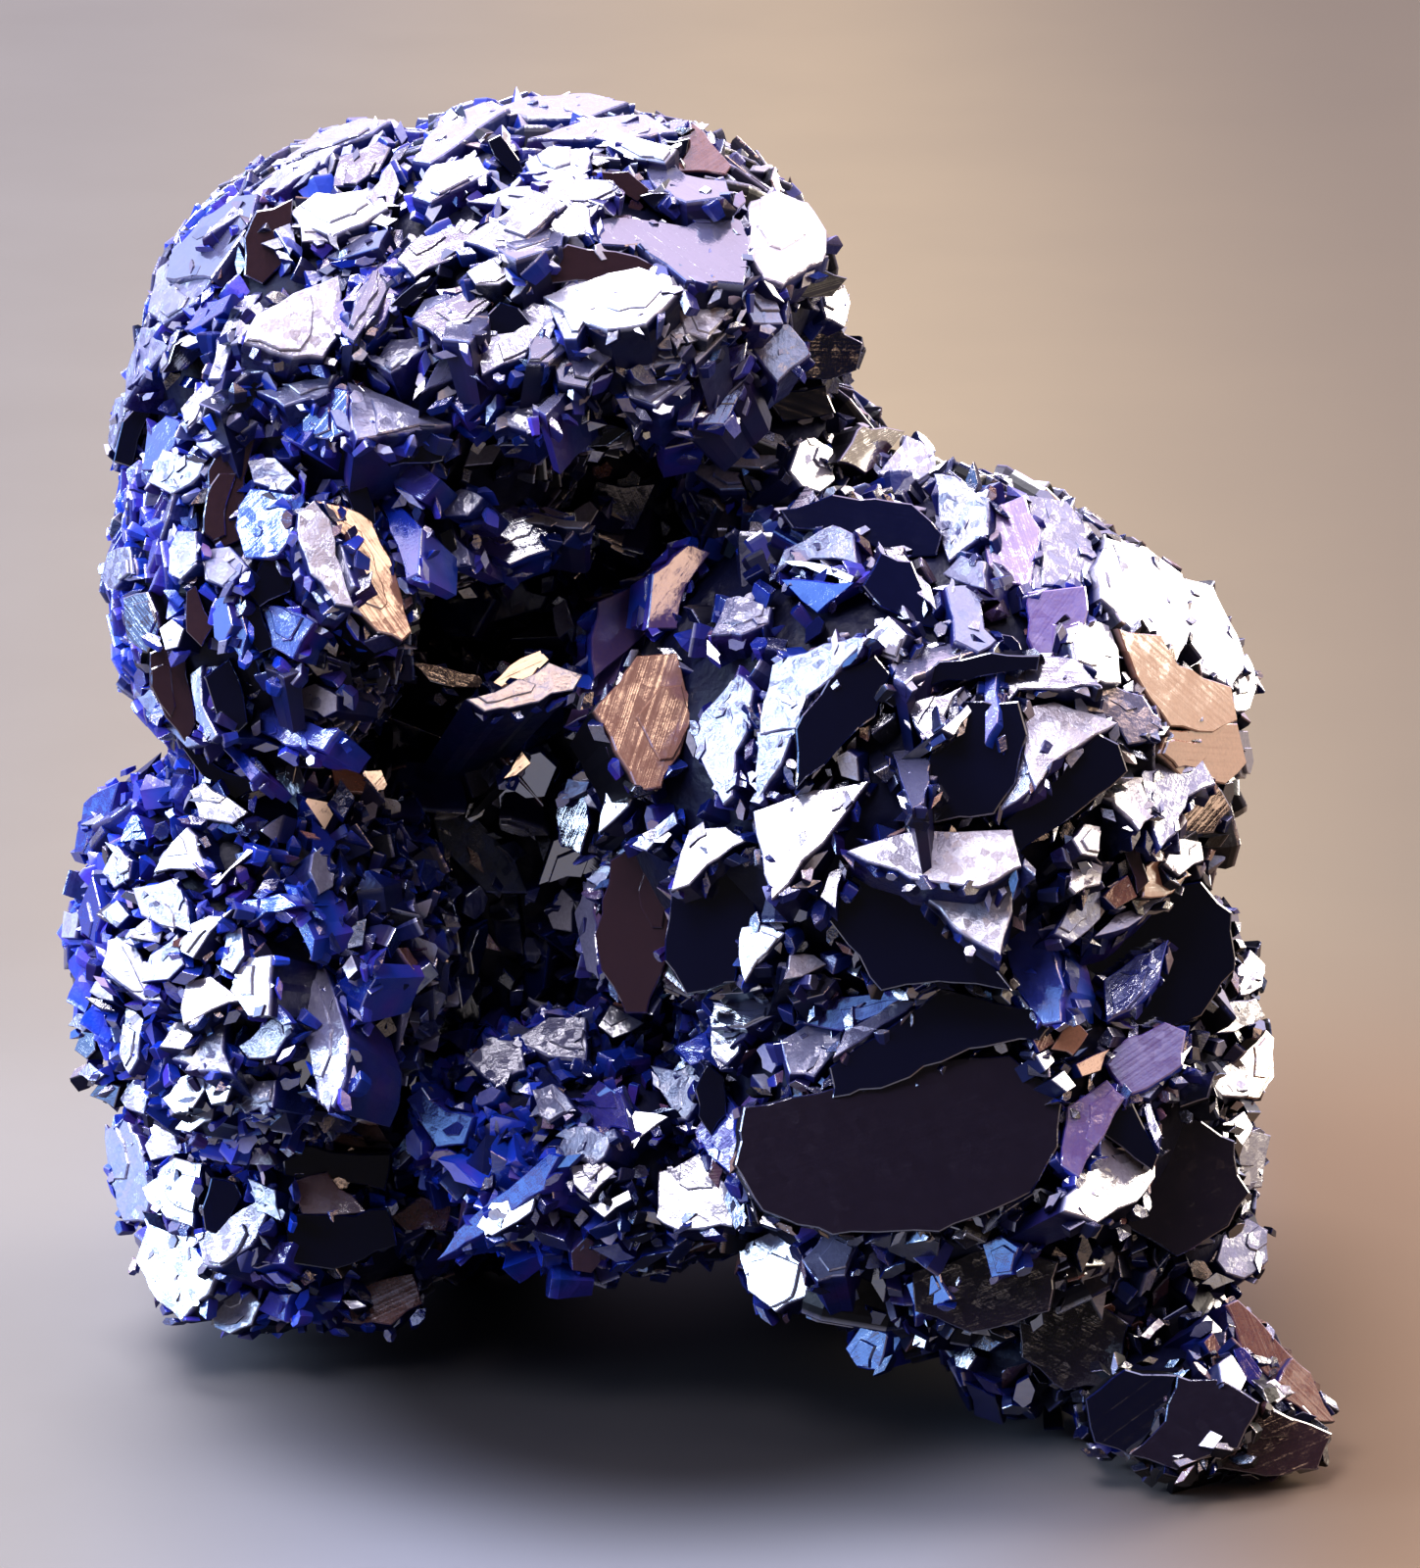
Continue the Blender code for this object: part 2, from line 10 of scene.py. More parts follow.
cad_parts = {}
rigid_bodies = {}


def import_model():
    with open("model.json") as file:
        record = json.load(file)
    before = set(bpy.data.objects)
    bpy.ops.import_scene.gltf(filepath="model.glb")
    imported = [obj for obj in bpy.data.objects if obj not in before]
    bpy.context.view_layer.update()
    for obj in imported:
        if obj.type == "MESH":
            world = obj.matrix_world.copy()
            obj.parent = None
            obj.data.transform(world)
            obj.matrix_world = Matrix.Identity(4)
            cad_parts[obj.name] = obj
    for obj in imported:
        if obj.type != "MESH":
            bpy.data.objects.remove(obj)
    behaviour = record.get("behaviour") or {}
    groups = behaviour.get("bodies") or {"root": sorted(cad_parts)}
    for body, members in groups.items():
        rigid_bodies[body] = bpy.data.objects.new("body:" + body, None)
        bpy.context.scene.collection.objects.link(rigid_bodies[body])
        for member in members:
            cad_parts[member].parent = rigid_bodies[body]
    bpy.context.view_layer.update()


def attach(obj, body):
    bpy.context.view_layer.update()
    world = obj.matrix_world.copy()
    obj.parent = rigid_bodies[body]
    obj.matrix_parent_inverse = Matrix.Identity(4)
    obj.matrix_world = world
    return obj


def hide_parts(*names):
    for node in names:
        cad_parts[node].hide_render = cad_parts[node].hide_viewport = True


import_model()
node = "azurite_cluster"
mm = 0.001

# Where the specimen is shown from: lift in degrees, the rest in mm.
show = {
    "lift": 18.0,
    "distance": 250.0,
    "centre": (0.0, 0.0, 21.0),
    "centreUp": 23.7,
    "aimAcross": 0.27,
    "aimUp": 22.83,
    "viewWidth": 46.59,
    "planShift": (0.455, -1.425, 0.0),
}
across = Vector((1.0, 0.0, 0.0))
upward = Vector((0.0, math.sin(math.radians(show["lift"])), math.cos(math.radians(show["lift"]))))
toward = Vector((0.0, -math.cos(math.radians(show["lift"])), math.sin(math.radians(show["lift"]))))
middle = Vector(show["centre"])
eye = middle + toward * show["distance"]

# The rounded masses that the crystals grew on: centre and radii, mm.
lobes = {
    "crown": ((-4.9, 1.5, 36.8), (9.2, 8.8, 5.6)),
    "dome": ((-10.7, 1.5, 33.8), (7.7, 8.5, 7.7)),
    "bowl": ((-14.2, -0.5, 27.4), (5.2, 7.2, 7.1)),
    "shoulder": ((6.9, -2.5, 21.5), (10.3, 9.6, 9.6)),
    "belly": ((8.5, -3.0, 11.3), (9.4, 9.2, 9.0)),
    "hip": ((13.2, -3.8, 6.8), (4.9, 5.6, 4.2)),
    "druse": ((-14.3, -2.0, 15.4), (6.1, 6.7, 6.9)),
    "foot": ((-13.3, 1.8, 4.8), (5.6, 5.6, 4.0)),
    "knot": ((-3.1, -1.0, 8.2), (6.5, 6.6, 4.2)),
    "neck": ((2.6, 3.0, 30.0), (3.8, 4.6, 3.4)),
    "heel": ((11.6, -5.6, 2.9), (3.9, 3.9, 2.7)),
    "tail": ((15.7, -9.2, 2.1), (3.7, 3.4, 2.5)),
    "backTop": ((-6.0, 7.6, 30.6), (9.0, 7.0, 8.6)),
    "backLeft": ((-8.0, 8.0, 13.8), (9.0, 7.6, 13.2)),
    "backRight": ((7.5, 8.0, 12.8), (9.0, 7.6, 12.7)),
    "middle": ((-1.0, 6.6, 19.0), (8.6, 6.0, 10.6)),
}
coreBlend = {"sunk": 0.55, "fineness": 4, "lowest": 0.05}


# The larger crystals are placed one by one. Each line: name, turn and lift of its broad face
# (degrees), how far it stands out (mm), finish, and the corners of the face as across,down in
# steps of the measuring grid. An indented line carries on the one above.
grid = {"across": 716.0, "down": 1510.0, "perMm": 31.1}
domeFaces = """
rim_a -48 32 .2 clear 168,285 172,262 205,222 240,200 262,198 255,225 215,285
rim_b -35 48 .2 grain 205,245 245,205 290,170 345,148 330,165 290,190
rim_c -22 55 .2 frost 288,165 320,135 370,120 400,122 380,135 340,150
rim_d -52 28 .2 grain 150,320 160,275 185,255 215,285 200,310 165,330
rim_e -58 15 .2 grain 125,415 128,380 145,335 170,330 180,345 160,370
rim_f -60 8 .2 grain 110,450 118,405 138,400 130,430 116,480
grey_tile -15 45 .4 clear 340,190 345,160 385,145 400,150 385,175 365,190
white_tile -13 42 .5 white 296,215 320,197 345,200 390,195 395,212 370,228 340,240 318,232
white_fold -13 42 .5 frost 375,200 398,165 407,188 396,235 382,220
brown_pit 5 0 .1 rust 250,245 262,215 300,205 298,255 285,275 268,290 250,280
pink_bit 10 32 .3 frost 281,236 296,228 303,250 295,260
cream_bit 5 36 .3 cream 302,222 332,228 340,248 308,246
lilac_strip -12 42 .4 clear 335,264 370,242 396,236 386,254 345,267
navy_slit -5 -6 .3 blue 337,270 385,256 396,260 385,270 350,276
steep_blade -10 40 .6 clear 352,345 360,310 385,265 400,235 412,235 410,275 385,315 362,350
gold_blade 12 26 .9 speckle 248,350 262,322 300,300 345,282 350,300 345,345 330,366 298,366
lilac_fold -20 40 .5 frost 240,345 248,315 285,298 290,306 270,330 250,346
violet_up -38 20 .3 violet 188,338 205,310 238,300 228,318 200,336
crescent_a 15 -6 .0 black 178,352 235,318 224,346 190,378 165,380
crescent_b 0 -6 .0 black 116,470 124,430 165,375 190,378 160,415 140,450 134,478
band_a -28 38 .4 frost 213,388 222,350 247,303 265,300 240,350 226,387
band_b -30 30 .4 grain 184,418 213,386 226,391 207,425 190,440
arc_a -20 44 .4 grain 236,392 245,372 270,365 300,367 292,376 255,380
arc_dark_a 10 -5 .2 black 253,359 275,350 300,357 300,366 265,365
arc_dark_b 10 -5 .2 black 230,420 262,382 285,377 300,396 275,401 250,421
arc_b -25 42 .4 clear 204,413 235,392 250,399 225,421
cyan_a -30 22 .4 grain 200,425 245,422 262,430 240,450 215,466 200,456
white_low -14 42 .4 grain 262,401 300,395 345,385 332,402 290,416
violet_mid -35 6 .4 violet 308,422 343,396 356,400 356,440 335,451 310,442
violet_bit -33 8 .4 blue 288,442 305,425 320,440 310,457
white_wedge -15 40 .7 frost 355,391 400,406 462,435 400,443 366,450
wedge_base 0 0 .4 black 366,456 400,445 456,442 452,470 400,477
lilac_a -14 42 .4 clear 405,265 425,245 480,228 492,240 460,265 425,286
lilac_b -14 40 .4 clear 453,347 462,320 495,295 501,305 498,330 480,351
cyan_b -22 36 .3 frost 420,326 432,305 455,301 462,318 445,331
navy_b 5 -6 .3 black 398,312 425,290 448,281 440,293 415,317
navy_c 5 -6 .3 black 360,354 400,316 411,320 385,346 368,360
mid_blade_a -4 26 .5 frost 482,353 544,309 571,318 536,367 491,384
mid_blade_b 2 26 .5 clear 562,353 611,327 633,362 598,398 571,389
mid_blade_c -6 28 .4 frost 633,371 678,353 704,389 669,416 642,407
mid_blade_d 6 24 .5 violet 713,398 758,353 767,380 740,433 713,433
mid_blade_e -8 26 .5 violet 331,318 402,264 429,273 384,336 358,353
mid_blade_f -4 24 .5 clear 420,327 482,291 500,309 456,353
mid_blade_g -6 24 .4 steel 438,398 509,362 518,389 473,424
mid_blade_h 0 24 .5 frost 500,433 580,380 598,389 544,442
mid_blade_i 4 22 .4 violet 669,433 713,416 722,451 678,460
mid_blade_j 10 24 .4 frost 758,344 802,327 829,362 793,389
mid_blade_k -4 30 .5 frost 473,247 544,193 580,211 518,264
lilac_c -14 40 .3 grain 384,371 400,346 430,344 441,352 420,366 400,381
lilac_d -14 38 .3 clear 430,402 450,370 490,354 497,362 465,387
navy_d -20 2 .3 blue 448,431 470,410 510,395 521,406 480,431
top_a -15 56 .3 frost 420,162 450,120 500,100 521,110 480,140 440,166
top_b -5 60 .3 frost 505,112 540,98 600,95 640,105 600,119 540,121
top_c -2 58 .3 frost 538,141 600,120 660,118 690,134 640,142
top_d -8 46 .4 white 608,143 625,129 655,141 692,150 680,166 640,161
top_e -15 50 .3 grain 420,201 440,170 490,160 501,175 470,191 440,206
top_f -15 46 .3 grain 535,166 560,150 602,150 600,181 570,191 545,181
slit_a 5 -4 .3 black 499,146 512,139 528,163 536,180 522,180 504,161
top_g -12 48 .4 frost 478,206 520,190 580,184 626,186 630,200 590,216 540,216
red_tile 24 20 .4 salmon 688,176 705,150 705,124 718,135 746,170 740,179
mauve_tile 15 40 .3 frost 660,126 706,122 706,145 680,146
hole 0 -4 .4 black 678,146 705,142 700,158 685,169
gap_a 8 -5 .2 rust 598,177 640,175 664,195 650,208 620,196
gap_b 8 -5 .2 black 655,200 680,197 730,202 748,221 700,233 668,216
mid_a -8 46 .5 clear 648,152 680,155 700,180 742,185 746,200 700,206 670,191
lilac_ledge -8 44 .6 clear 606,226 640,221 700,232 730,212 756,225 766,250 760,290 700,287 650,251 612,252
grey_cheek 18 26 .4 frost 755,252 775,270 790,300 800,330 770,332 745,290
riser_a 5 -5 .3 rust 558,268 580,252 650,262 702,291 640,287 565,292
white_ledge -12 42 .8 white 553,302 600,280 650,273 682,288 692,300 660,330 620,336 600,330
cream_ledge 6 34 .7 cream 678,302 740,294 757,310 722,346 702,342 690,320
white_drop -10 40 .7 white 700,352 735,327 740,340 710,371
cream_drop 6 34 .7 cream 663,321 695,325 702,345 690,356
blue_shelf -12 14 .3 frost 545,216 580,205 602,212 606,240 575,247 555,236
lilac_k -12 42 .4 clear 498,252 530,231 576,237 572,250 525,266
cream_k -8 40 .4 cream 478,277 520,255 551,250 540,271 510,291 485,291
pit 0 -4 .4 black 499,321 510,311 530,317 546,335 515,356 500,346
lilac_m -6 40 .4 clear 538,346 550,320 602,330 590,351 560,371 540,373
speck_m -10 42 .5 grain 556,302 580,310 602,325 590,346 575,346 563,320
grey_a 4 24 .3 frost 613,346 660,335 696,350 701,371 660,377 630,361
dark_q 2 -5 .3 black 588,351 610,345 640,365 702,379 690,391 630,381 600,371
violet_thin 0 18 .4 violet 690,430 700,385 742,355 763,349 760,368 720,400 706,430
lilac_edge -8 40 .5 clear 690,433 735,395 763,370 758,386 720,426 700,439
grey_b -5 20 .3 frost 640,390 692,395 667,420 650,437 633,415
dark_blade -8 -2 .4 navy 503,456 520,440 560,410 600,378 606,386 600,430 540,457
edge_blade -14 42 .6 frost 548,419 600,371 607,374 556,425
navy_e -5 -2 .2 black 545,462 600,431 642,440 620,457
rough_plate 30 44 .5 speckle 758,250 765,205 790,194 825,208 843,235 839,265 800,291 780,286
dark_wedge 35 -8 .4 black 794,302 835,271 864,285 850,302
cream_chip 50 22 .6 frost 838,300 862,291 869,310 861,334 843,326
dark_flank 25 -4 .4 navy 768,351 790,304 840,309 862,340 881,350 876,377 850,387 800,387
flank_b 15 -4 .3 black 765,390 800,400 842,395 852,420 800,432
"""
bowlFaces = """
violet_low -42 8 .4 violet 143,480 150,440 170,424 184,430 178,456 155,482
cyan_c -36 12 .4 grain 150,492 165,460 195,470 212,449 202,486 175,507
pink_l -20 30 .3 frost 199,482 205,454 222,454 227,471 210,487
dark_pit 4 -3 .2 rust 206,547 211,480 235,444 266,444 250,491 246,551 225,562
steel_a -30 8 .5 steel 243,517 255,500 300,504 302,545 285,567 250,572 240,541
white_d -25 25 .5 grain 254,471 280,467 302,490 290,502 259,493
blue_long -35 8 .5 blue 360,466 378,464 400,500 431,540 426,586 415,591 395,531
violet_e -25 16 .4 violet 394,476 430,474 447,490 430,511 405,501
framed -30 16 .6 grain 433,529 450,521 476,560 479,576 460,581 444,561
frame_pit 0 0 .8 black 447,546 460,540 468,560 455,567
white_g -28 18 .5 grain 444,511 470,499 492,508 475,526 455,526
violet_g -4 16 .4 violet 477,527 520,516 576,531 560,561 520,577 489,561
rim_bright -14 42 .6 white 478,519 505,511 560,527 602,532 595,541 540,534
white_h -30 14 .7 white 584,521 600,511 609,522 600,536 587,533
cyan_d -34 12 .5 grain 171,562 180,544 201,544 201,576 185,592 172,587
violet_h -32 10 .4 frost 204,566 235,559 252,580 230,602 209,591
dark_h 0 -3 .3 black 249,602 270,569 302,574 297,606 265,622
slate -20 10 .5 steel 263,614 290,619 322,635 300,672 279,661
slate_b 2 0 .3 black 248,612 264,620 280,661 265,667 249,641
lilac_i -16 38 .5 clear 264,667 295,679 307,686 290,692 270,682
white_lens -34 12 1.9 grain 302,556 311,514 330,513 341,540 361,600 345,621 325,617 307,591
lens_white 14 18 2.9 speckle 304,524 322,512 338,530 348,580 361,622 344,616 318,585 306,552
peach_lens 19 14 3.0 tan 325,512 352,517 380,535 400,570 411,610 421,645 412,656 385,646 360,622 348,580
    338,532
black_lens 10 -5 1.9 black 350,499 375,494 396,560 427,600 422,640 400,610 370,555
blue_bits -33 8 .5 blue 325,630 345,618 370,632 368,645 340,646
white_c -34 12 .5 white 162,641 175,633 187,642 182,661 169,663
crescent_c 4 -5 .3 rust 154,666 175,659 191,665 192,700 199,740 190,761 168,731 154,701
crescent_d 2 -6 .3 black 167,736 195,760 232,790 264,800 240,817 205,791
light_a -34 8 .6 frost 195,690 205,679 206,720 221,750 215,757 199,736
light_b -34 8 .6 blue 214,752 226,745 264,790 255,797
crescent_e 0 -4 .3 black 209,692 235,674 247,700 252,740 240,752 220,731
steel_b -30 2 .4 steel 250,706 280,699 302,735 347,745 330,767 290,762 262,746
white_oval_l -34 10 .7 white 299,707 322,699 343,712 343,726 330,734 309,723
violet_j -20 12 .3 frost 279,771 300,759 312,800 302,847 284,831
light_left -50 6 .4 frost 133,706 150,694 165,725 202,760 190,764 150,727
speck_l -58 6 .3 grain 103,592 111,564 131,559 134,586 115,602
rust_l -40 -2 .3 rust 124,611 150,604 162,640 150,667 129,652
rust_m -5 -3 .3 rust 189,606 201,599 217,640 206,662 189,646
violet_k -32 4 .5 violet 214,621 228,604 237,640 229,662 217,651
violet_l -28 4 .5 violet 231,616 245,609 252,650 246,672 234,656
"""
recessFaces = """
gold_top 17 16 6.6 tan 497,702 520,680 551,664 562,672 545,692 510,707
gold_cream 17 18 7.2 ivory 476,713 510,706 560,675 577,682 595,690 586,706 520,724 495,726
tan_shelf 17 10 6.2 taupe 419,678 450,680 490,690 496,701 460,701 440,696
block 17 16 6.0 tan 356,801 361,785 389,785 396,800 386,814 364,812
chip 17 16 5.0 tan 514,796 525,775 534,767 542,780 526,792
dot -30 14 5.0 white 405,702 415,704 427,716 417,718
grey_recess -20 14 3.0 frost 564,621 575,611 585,640 570,652
"""
shoulderFaces = """
salmon_a 20 5 .5 rose 666,587 705,555 724,566 702,598 690,642 660,642
salmon_b 18 8 .4 rose 611,613 668,585 662,641 640,664 606,692 604,652
violet_side -20 12 .4 rose 602,694 640,662 625,702 600,730 576,743 588,702
peach_plate 19 14 .7 tan 606,726 650,669 690,666 702,705 714,728 697,761 675,803 652,808 629,766
white_sword -33 12 .7 grain 706,752 716,729 753,688 770,705 765,741 751,771 748,812 738,824 721,791
arch_rim -34 14 1.0 grain 774,736 789,679 840,658 888,653 851,691 825,712 812,744 774,750
arch_foot -34 10 .9 grain 773,749 813,746 796,781 773,819
arch_body 2 1 .9 black 812,744 851,690 892,669 908,690 892,731 850,772 811,807
speckled_tile -10 40 .6 grain 724,647 742,611 752,608 787,622 783,637 755,647
blue_top -25 16 .4 frost 784,597 799,560 850,538 870,547 874,577 850,572 805,575
cyan_line -30 16 .6 white 801,573 840,577 872,590 867,597 838,586
navy_f -28 0 .4 blue 798,591 872,596 852,612 835,628
dark_top 0 6 .5 navy 798,520 850,506 932,514 962,545 957,567 920,572 880,552 810,541
top_line 0 34 .6 frost 849,507 890,504 934,518 928,524 890,514
white_small -30 16 .7 white 878,656 905,631 924,650 914,677 884,667
cream_c -8 40 .6 clear 913,692 924,654 975,658 1003,665 960,677 925,697
dark_arc 5 -5 .7 black 903,717 960,675 1010,667 1060,671 1057,687 1000,692 950,702 911,724
lilac_wedge -12 40 .7 clear 920,720 982,701 960,741 950,762 935,741
lilac_tooth -16 40 .7 clear 908,765 937,754 950,780 942,820 932,827 917,791
gold_bit 20 30 .8 white 963,746 995,711 1000,718 975,752
lilac_band -6 38 .7 clear 1010,717 1017,679 1070,671 1097,674 1124,700 1085,704 1040,706 1015,737
blue_band -34 8 .7 steel 1005,692 1017,683 1017,740 1005,762
tan_wedge 10 30 .8 speckle 1046,722 1078,716 1142,738 1118,750 1080,777 1058,803 1046,771
white_fringe -30 15 .8 grain 1016,832 1036,795 1046,753 1058,782 1053,807
black_heart -5 2 .5 black 938,842 952,760 985,718 1040,718 1048,750 1036,802 1015,832
black_slab 10 -4 .6 black 1023,842 1060,800 1120,747 1142,760 1152,790 1100,832 1040,872
grey_slab 10 12 .6 frost 1093,716 1110,704 1140,701 1167,710 1187,735 1182,752 1150,762 1140,740
white_chip 45 24 .8 white 1090,641 1110,630 1132,640 1142,665 1145,697 1130,699 1100,687
mauve_block -6 24 .5 rose 1001,520 1045,506 1060,540 1052,602 1010,597
lilac_block 30 32 .5 frost 1048,507 1088,512 1114,545 1120,578 1105,602 1056,602 1056,540
violet_block 0 16 .5 rose 1050,606 1107,600 1110,625 1097,672 1060,677 1048,651
tall_plate -28 20 .7 grain 953,485 975,486 1007,510 1005,550 985,562 968,574 960,541
tall_foot -30 18 .6 frost 963,587 980,567 1005,575 1005,602 975,592
grey_foot -16 34 .5 frost 966,600 1002,600 1004,641 1017,656 1000,667 973,656
brown_peak 58 10 .6 rust 856,472 880,434 924,439 902,472 885,484
pink_peak 8 42 .5 frost 896,483 925,444 953,459 957,481 935,497 914,491
white_oval 45 26 .7 white 806,481 814,454 832,445 850,459 854,490 838,502 819,497
bright_band 47 30 .6 white 1116,580 1130,550 1170,558 1207,587 1217,640 1200,677 1150,640 1124,611
bright_end 47 30 .6 white 1198,587 1240,600 1264,650 1272,680 1256,702 1203,677 1193,640
bright_tip 47 30 .6 white 1260,681 1272,667 1284,695 1276,724 1261,726 1256,706
cream_slab 50 10 .4 tan 1143,641 1185,650 1205,680 1257,702 1264,736 1240,747 1195,742 1160,691
pink_slab 48 4 .4 tan 1193,746 1264,738 1272,780 1250,802 1215,802 1183,771
lilac_slab 30 30 .5 frost 1163,791 1190,767 1225,773 1242,800 1215,812 1202,850 1185,867 1173,831
cream_e 30 34 .5 cream 1118,801 1165,794 1177,830 1165,847 1139,822
maroon 20 2 .4 rust 1208,812 1240,799 1257,825 1240,852 1203,857
dark_leaf 4 4 .4 navy 880,600 900,565 930,575 965,650 940,640 900,620
pale_leaf -18 34 .5 clear 903,562 918,562 950,600 955,625 935,605
"""
bellyFaces = """
great_wedge -26 28 1.1 white 770,829 830,806 888,797 862,831 812,890 788,920 777,872
white_fin -22 32 .8 white 705,848 742,845 767,857 735,876 704,902 686,910
white_tri -30 16 .7 white 610,850 621,797 657,791 641,822
blue_ear -34 2 .5 navy 568,832 579,794 600,797 602,840 591,872 574,862
ear_light -34 8 .6 frost 573,817 579,794 600,797 597,807
lilac_sliver -30 16 .7 frost 643,862 687,829 692,840 660,868
dark_disc -8 -2 .7 rust 608,952 624,880 650,855 692,848 703,880 682,920 685,960 661,1033 639,1033 614,991
disc_rim -34 8 .6 frost 586,932 599,896 613,905 606,950 614,1002 599,992
rim_top -34 14 .6 frost 598,898 640,868 652,855 625,880 612,906
black_shell -6 2 .6 black 684,916 767,861 773,900 775,950 755,962 751,1002 700,1017 679,981
small_white -32 12 1.0 white 755,948 775,945 801,952 770,986 758,1002 754,976
cream_tri 16 30 .9 cream 801,1000 807,974 832,975 842,985 820,997
white_line -20 34 .9 white 723,1005 770,997 777,1010 730,1017
lilac_step -32 14 .9 clear 722,1023 775,1018 802,1011 799,1031 760,1051 724,1051
lilac_leg -32 14 .9 clear 724,1048 760,1047 753,1076 740,1088 726,1079
lilac_top -20 30 .9 clear 801,1013 835,995 852,1000 841,1016 810,1024
grey_brown 0 30 .9 frost 798,1063 830,1041 862,1044 856,1076 830,1100 806,1097
lilac_rim -20 32 1.0 clear 850,1082 862,1053 962,998 970,1001 900,1048
violet_strip -20 8 .8 violet 808,1026 860,1018 952,1000 900,1036 860,1052 815,1042
charcoal_plate 2 3 .9 charcoal 749,1191 759,1131 850,1113 940,1084 1030,1079 1087,1115 1080,1171 1051,1217
    960,1257 850,1262 779,1237
charcoal_top -3 4 .7 black 850,1122 848,1090 962,1010 1082,1041 1062,1062 990,1072 900,1112
cream_wedge 2 27 1.1 speckle 864,870 925,851 1034,849 1042,885 1000,906 930,896
cream_wedge_b -2 24 1.1 speckle 923,891 1042,879 1032,931 1021,975 974,947
lilac_f -26 10 .8 steel 1028,931 1056,914 1070,960 1087,1010 1082,1042 1065,1047 1039,1011 1028,971
white_g2 -30 16 1.1 white 1031,1012 1048,1009 1067,1035 1070,1050 1050,1042
white_streak -20 34 1.0 white 974,951 1000,954 1027,976 1000,972
under_wedge -5 -3 .8 black 846,942 880,878 930,902 990,960 1032,1012 960,1002 900,1012
grey_sliver -5 24 .9 frost 838,915 848,890 862,884 852,927
group_a 40 26 .8 cream 1096,856 1108,840 1122,845 1120,877 1105,872
group_b 40 24 .8 cream 1093,906 1100,868 1127,885 1122,902 1099,914
group_c 30 20 .8 frost 1078,952 1095,914 1122,911 1124,937 1095,962
group_d 24 6 .8 salmon 1128,916 1150,893 1162,915 1140,927
group_e 44 12 .8 tan 1166,917 1169,884 1190,868 1217,895 1190,917
group_f 10 0 .7 rust 1148,872 1165,863 1172,900 1160,912
group_g 44 26 .9 cream 1190,882 1199,856 1227,861 1230,880 1205,895
group_h 20 30 .8 frost 1118,957 1140,935 1202,904 1150,947
dark_round 6 -2 .7 black 1065,966 1130,944 1190,904 1227,899 1257,930 1260,990 1225,1037 1190,1050
    1140,1047 1088,1032
round_face -4 14 .9 steel 1128,1001 1160,974 1192,958 1182,1001 1155,1032 1129,1042
round_side 40 6 .7 violet 1233,920 1264,929 1267,970 1245,982
edge_a 46 24 .5 white 1263,986 1275,968 1290,985 1287,1007 1267,1014
edge_b 44 14 .5 frost 1213,1052 1245,1024 1282,1019 1292,1036 1260,1052
edge_c 46 24 .5 cream 1233,1102 1255,1083 1272,1094 1277,1117 1249,1117
edge_d 46 16 .5 tan 1263,1061 1285,1043 1302,1060 1302,1100 1286,1122 1264,1117
edge_e 44 26 .6 white 1248,1146 1271,1133 1280,1150 1266,1172 1249,1162
edge_f 46 8 .4 frost 1260,1150 1297,1160 1287,1212 1264,1212
purple_patch 0 18 .7 rose 1128,1081 1150,1058 1190,1043 1212,1054 1207,1087 1170,1112 1150,1117
glint 20 26 .9 white 1199,1077 1209,1060 1217,1067 1206,1087
vee_a 0 26 .8 frost 1153,1119 1198,1081 1207,1083 1172,1121
vee_b -4 22 .8 frost 1162,1115 1172,1113 1187,1160 1180,1168
navy_g -10 6 .7 navy 1194,1100 1242,1094 1232,1122 1205,1132
pink_a 24 10 .9 tan 1073,1071 1090,1038 1112,1055 1096,1077
pink_b 20 8 .9 salmon 1098,1087 1132,1073 1122,1092 1105,1100
pink_c 44 26 1.0 white 1058,1078 1070,1070 1078,1085 1066,1092
pink_d 44 26 1.0 white 1073,1102 1085,1094 1100,1108 1088,1114
pink_e 24 8 .9 salmon 1055,1062 1072,1052 1078,1066 1062,1074
mauve_face 10 16 .7 rose 1088,1131 1130,1104 1147,1120 1127,1161 1101,1202 1084,1191
black_vee 0 -4 .7 black 1126,1160 1148,1113 1182,1181 1176,1197
cream_fin 46 25 1.1 white 1123,1158 1180,1184 1178,1201 1162,1226 1120,1248 1087,1237 1090,1221 1109,1200
dark_cheek 6 0 .6 charcoal 1176,1202 1185,1149 1215,1139 1260,1165 1264,1200 1275,1217 1255,1252 1200,1282
    1148,1251
cobalt_a -34 2 .8 blue 688,1067 720,1053 727,1076 705,1088
pale_star -32 15 .9 grain 663,1086 690,1094 727,1078 722,1101 701,1142 690,1143 671,1111
pale_face -34 5 .7 steel 733,1100 749,1130 754,1180 750,1202 728,1182 711,1156 720,1140
black_hole 0 -3 .9 black 710,1111 722,1088 737,1100 740,1136 725,1158 713,1141
"""
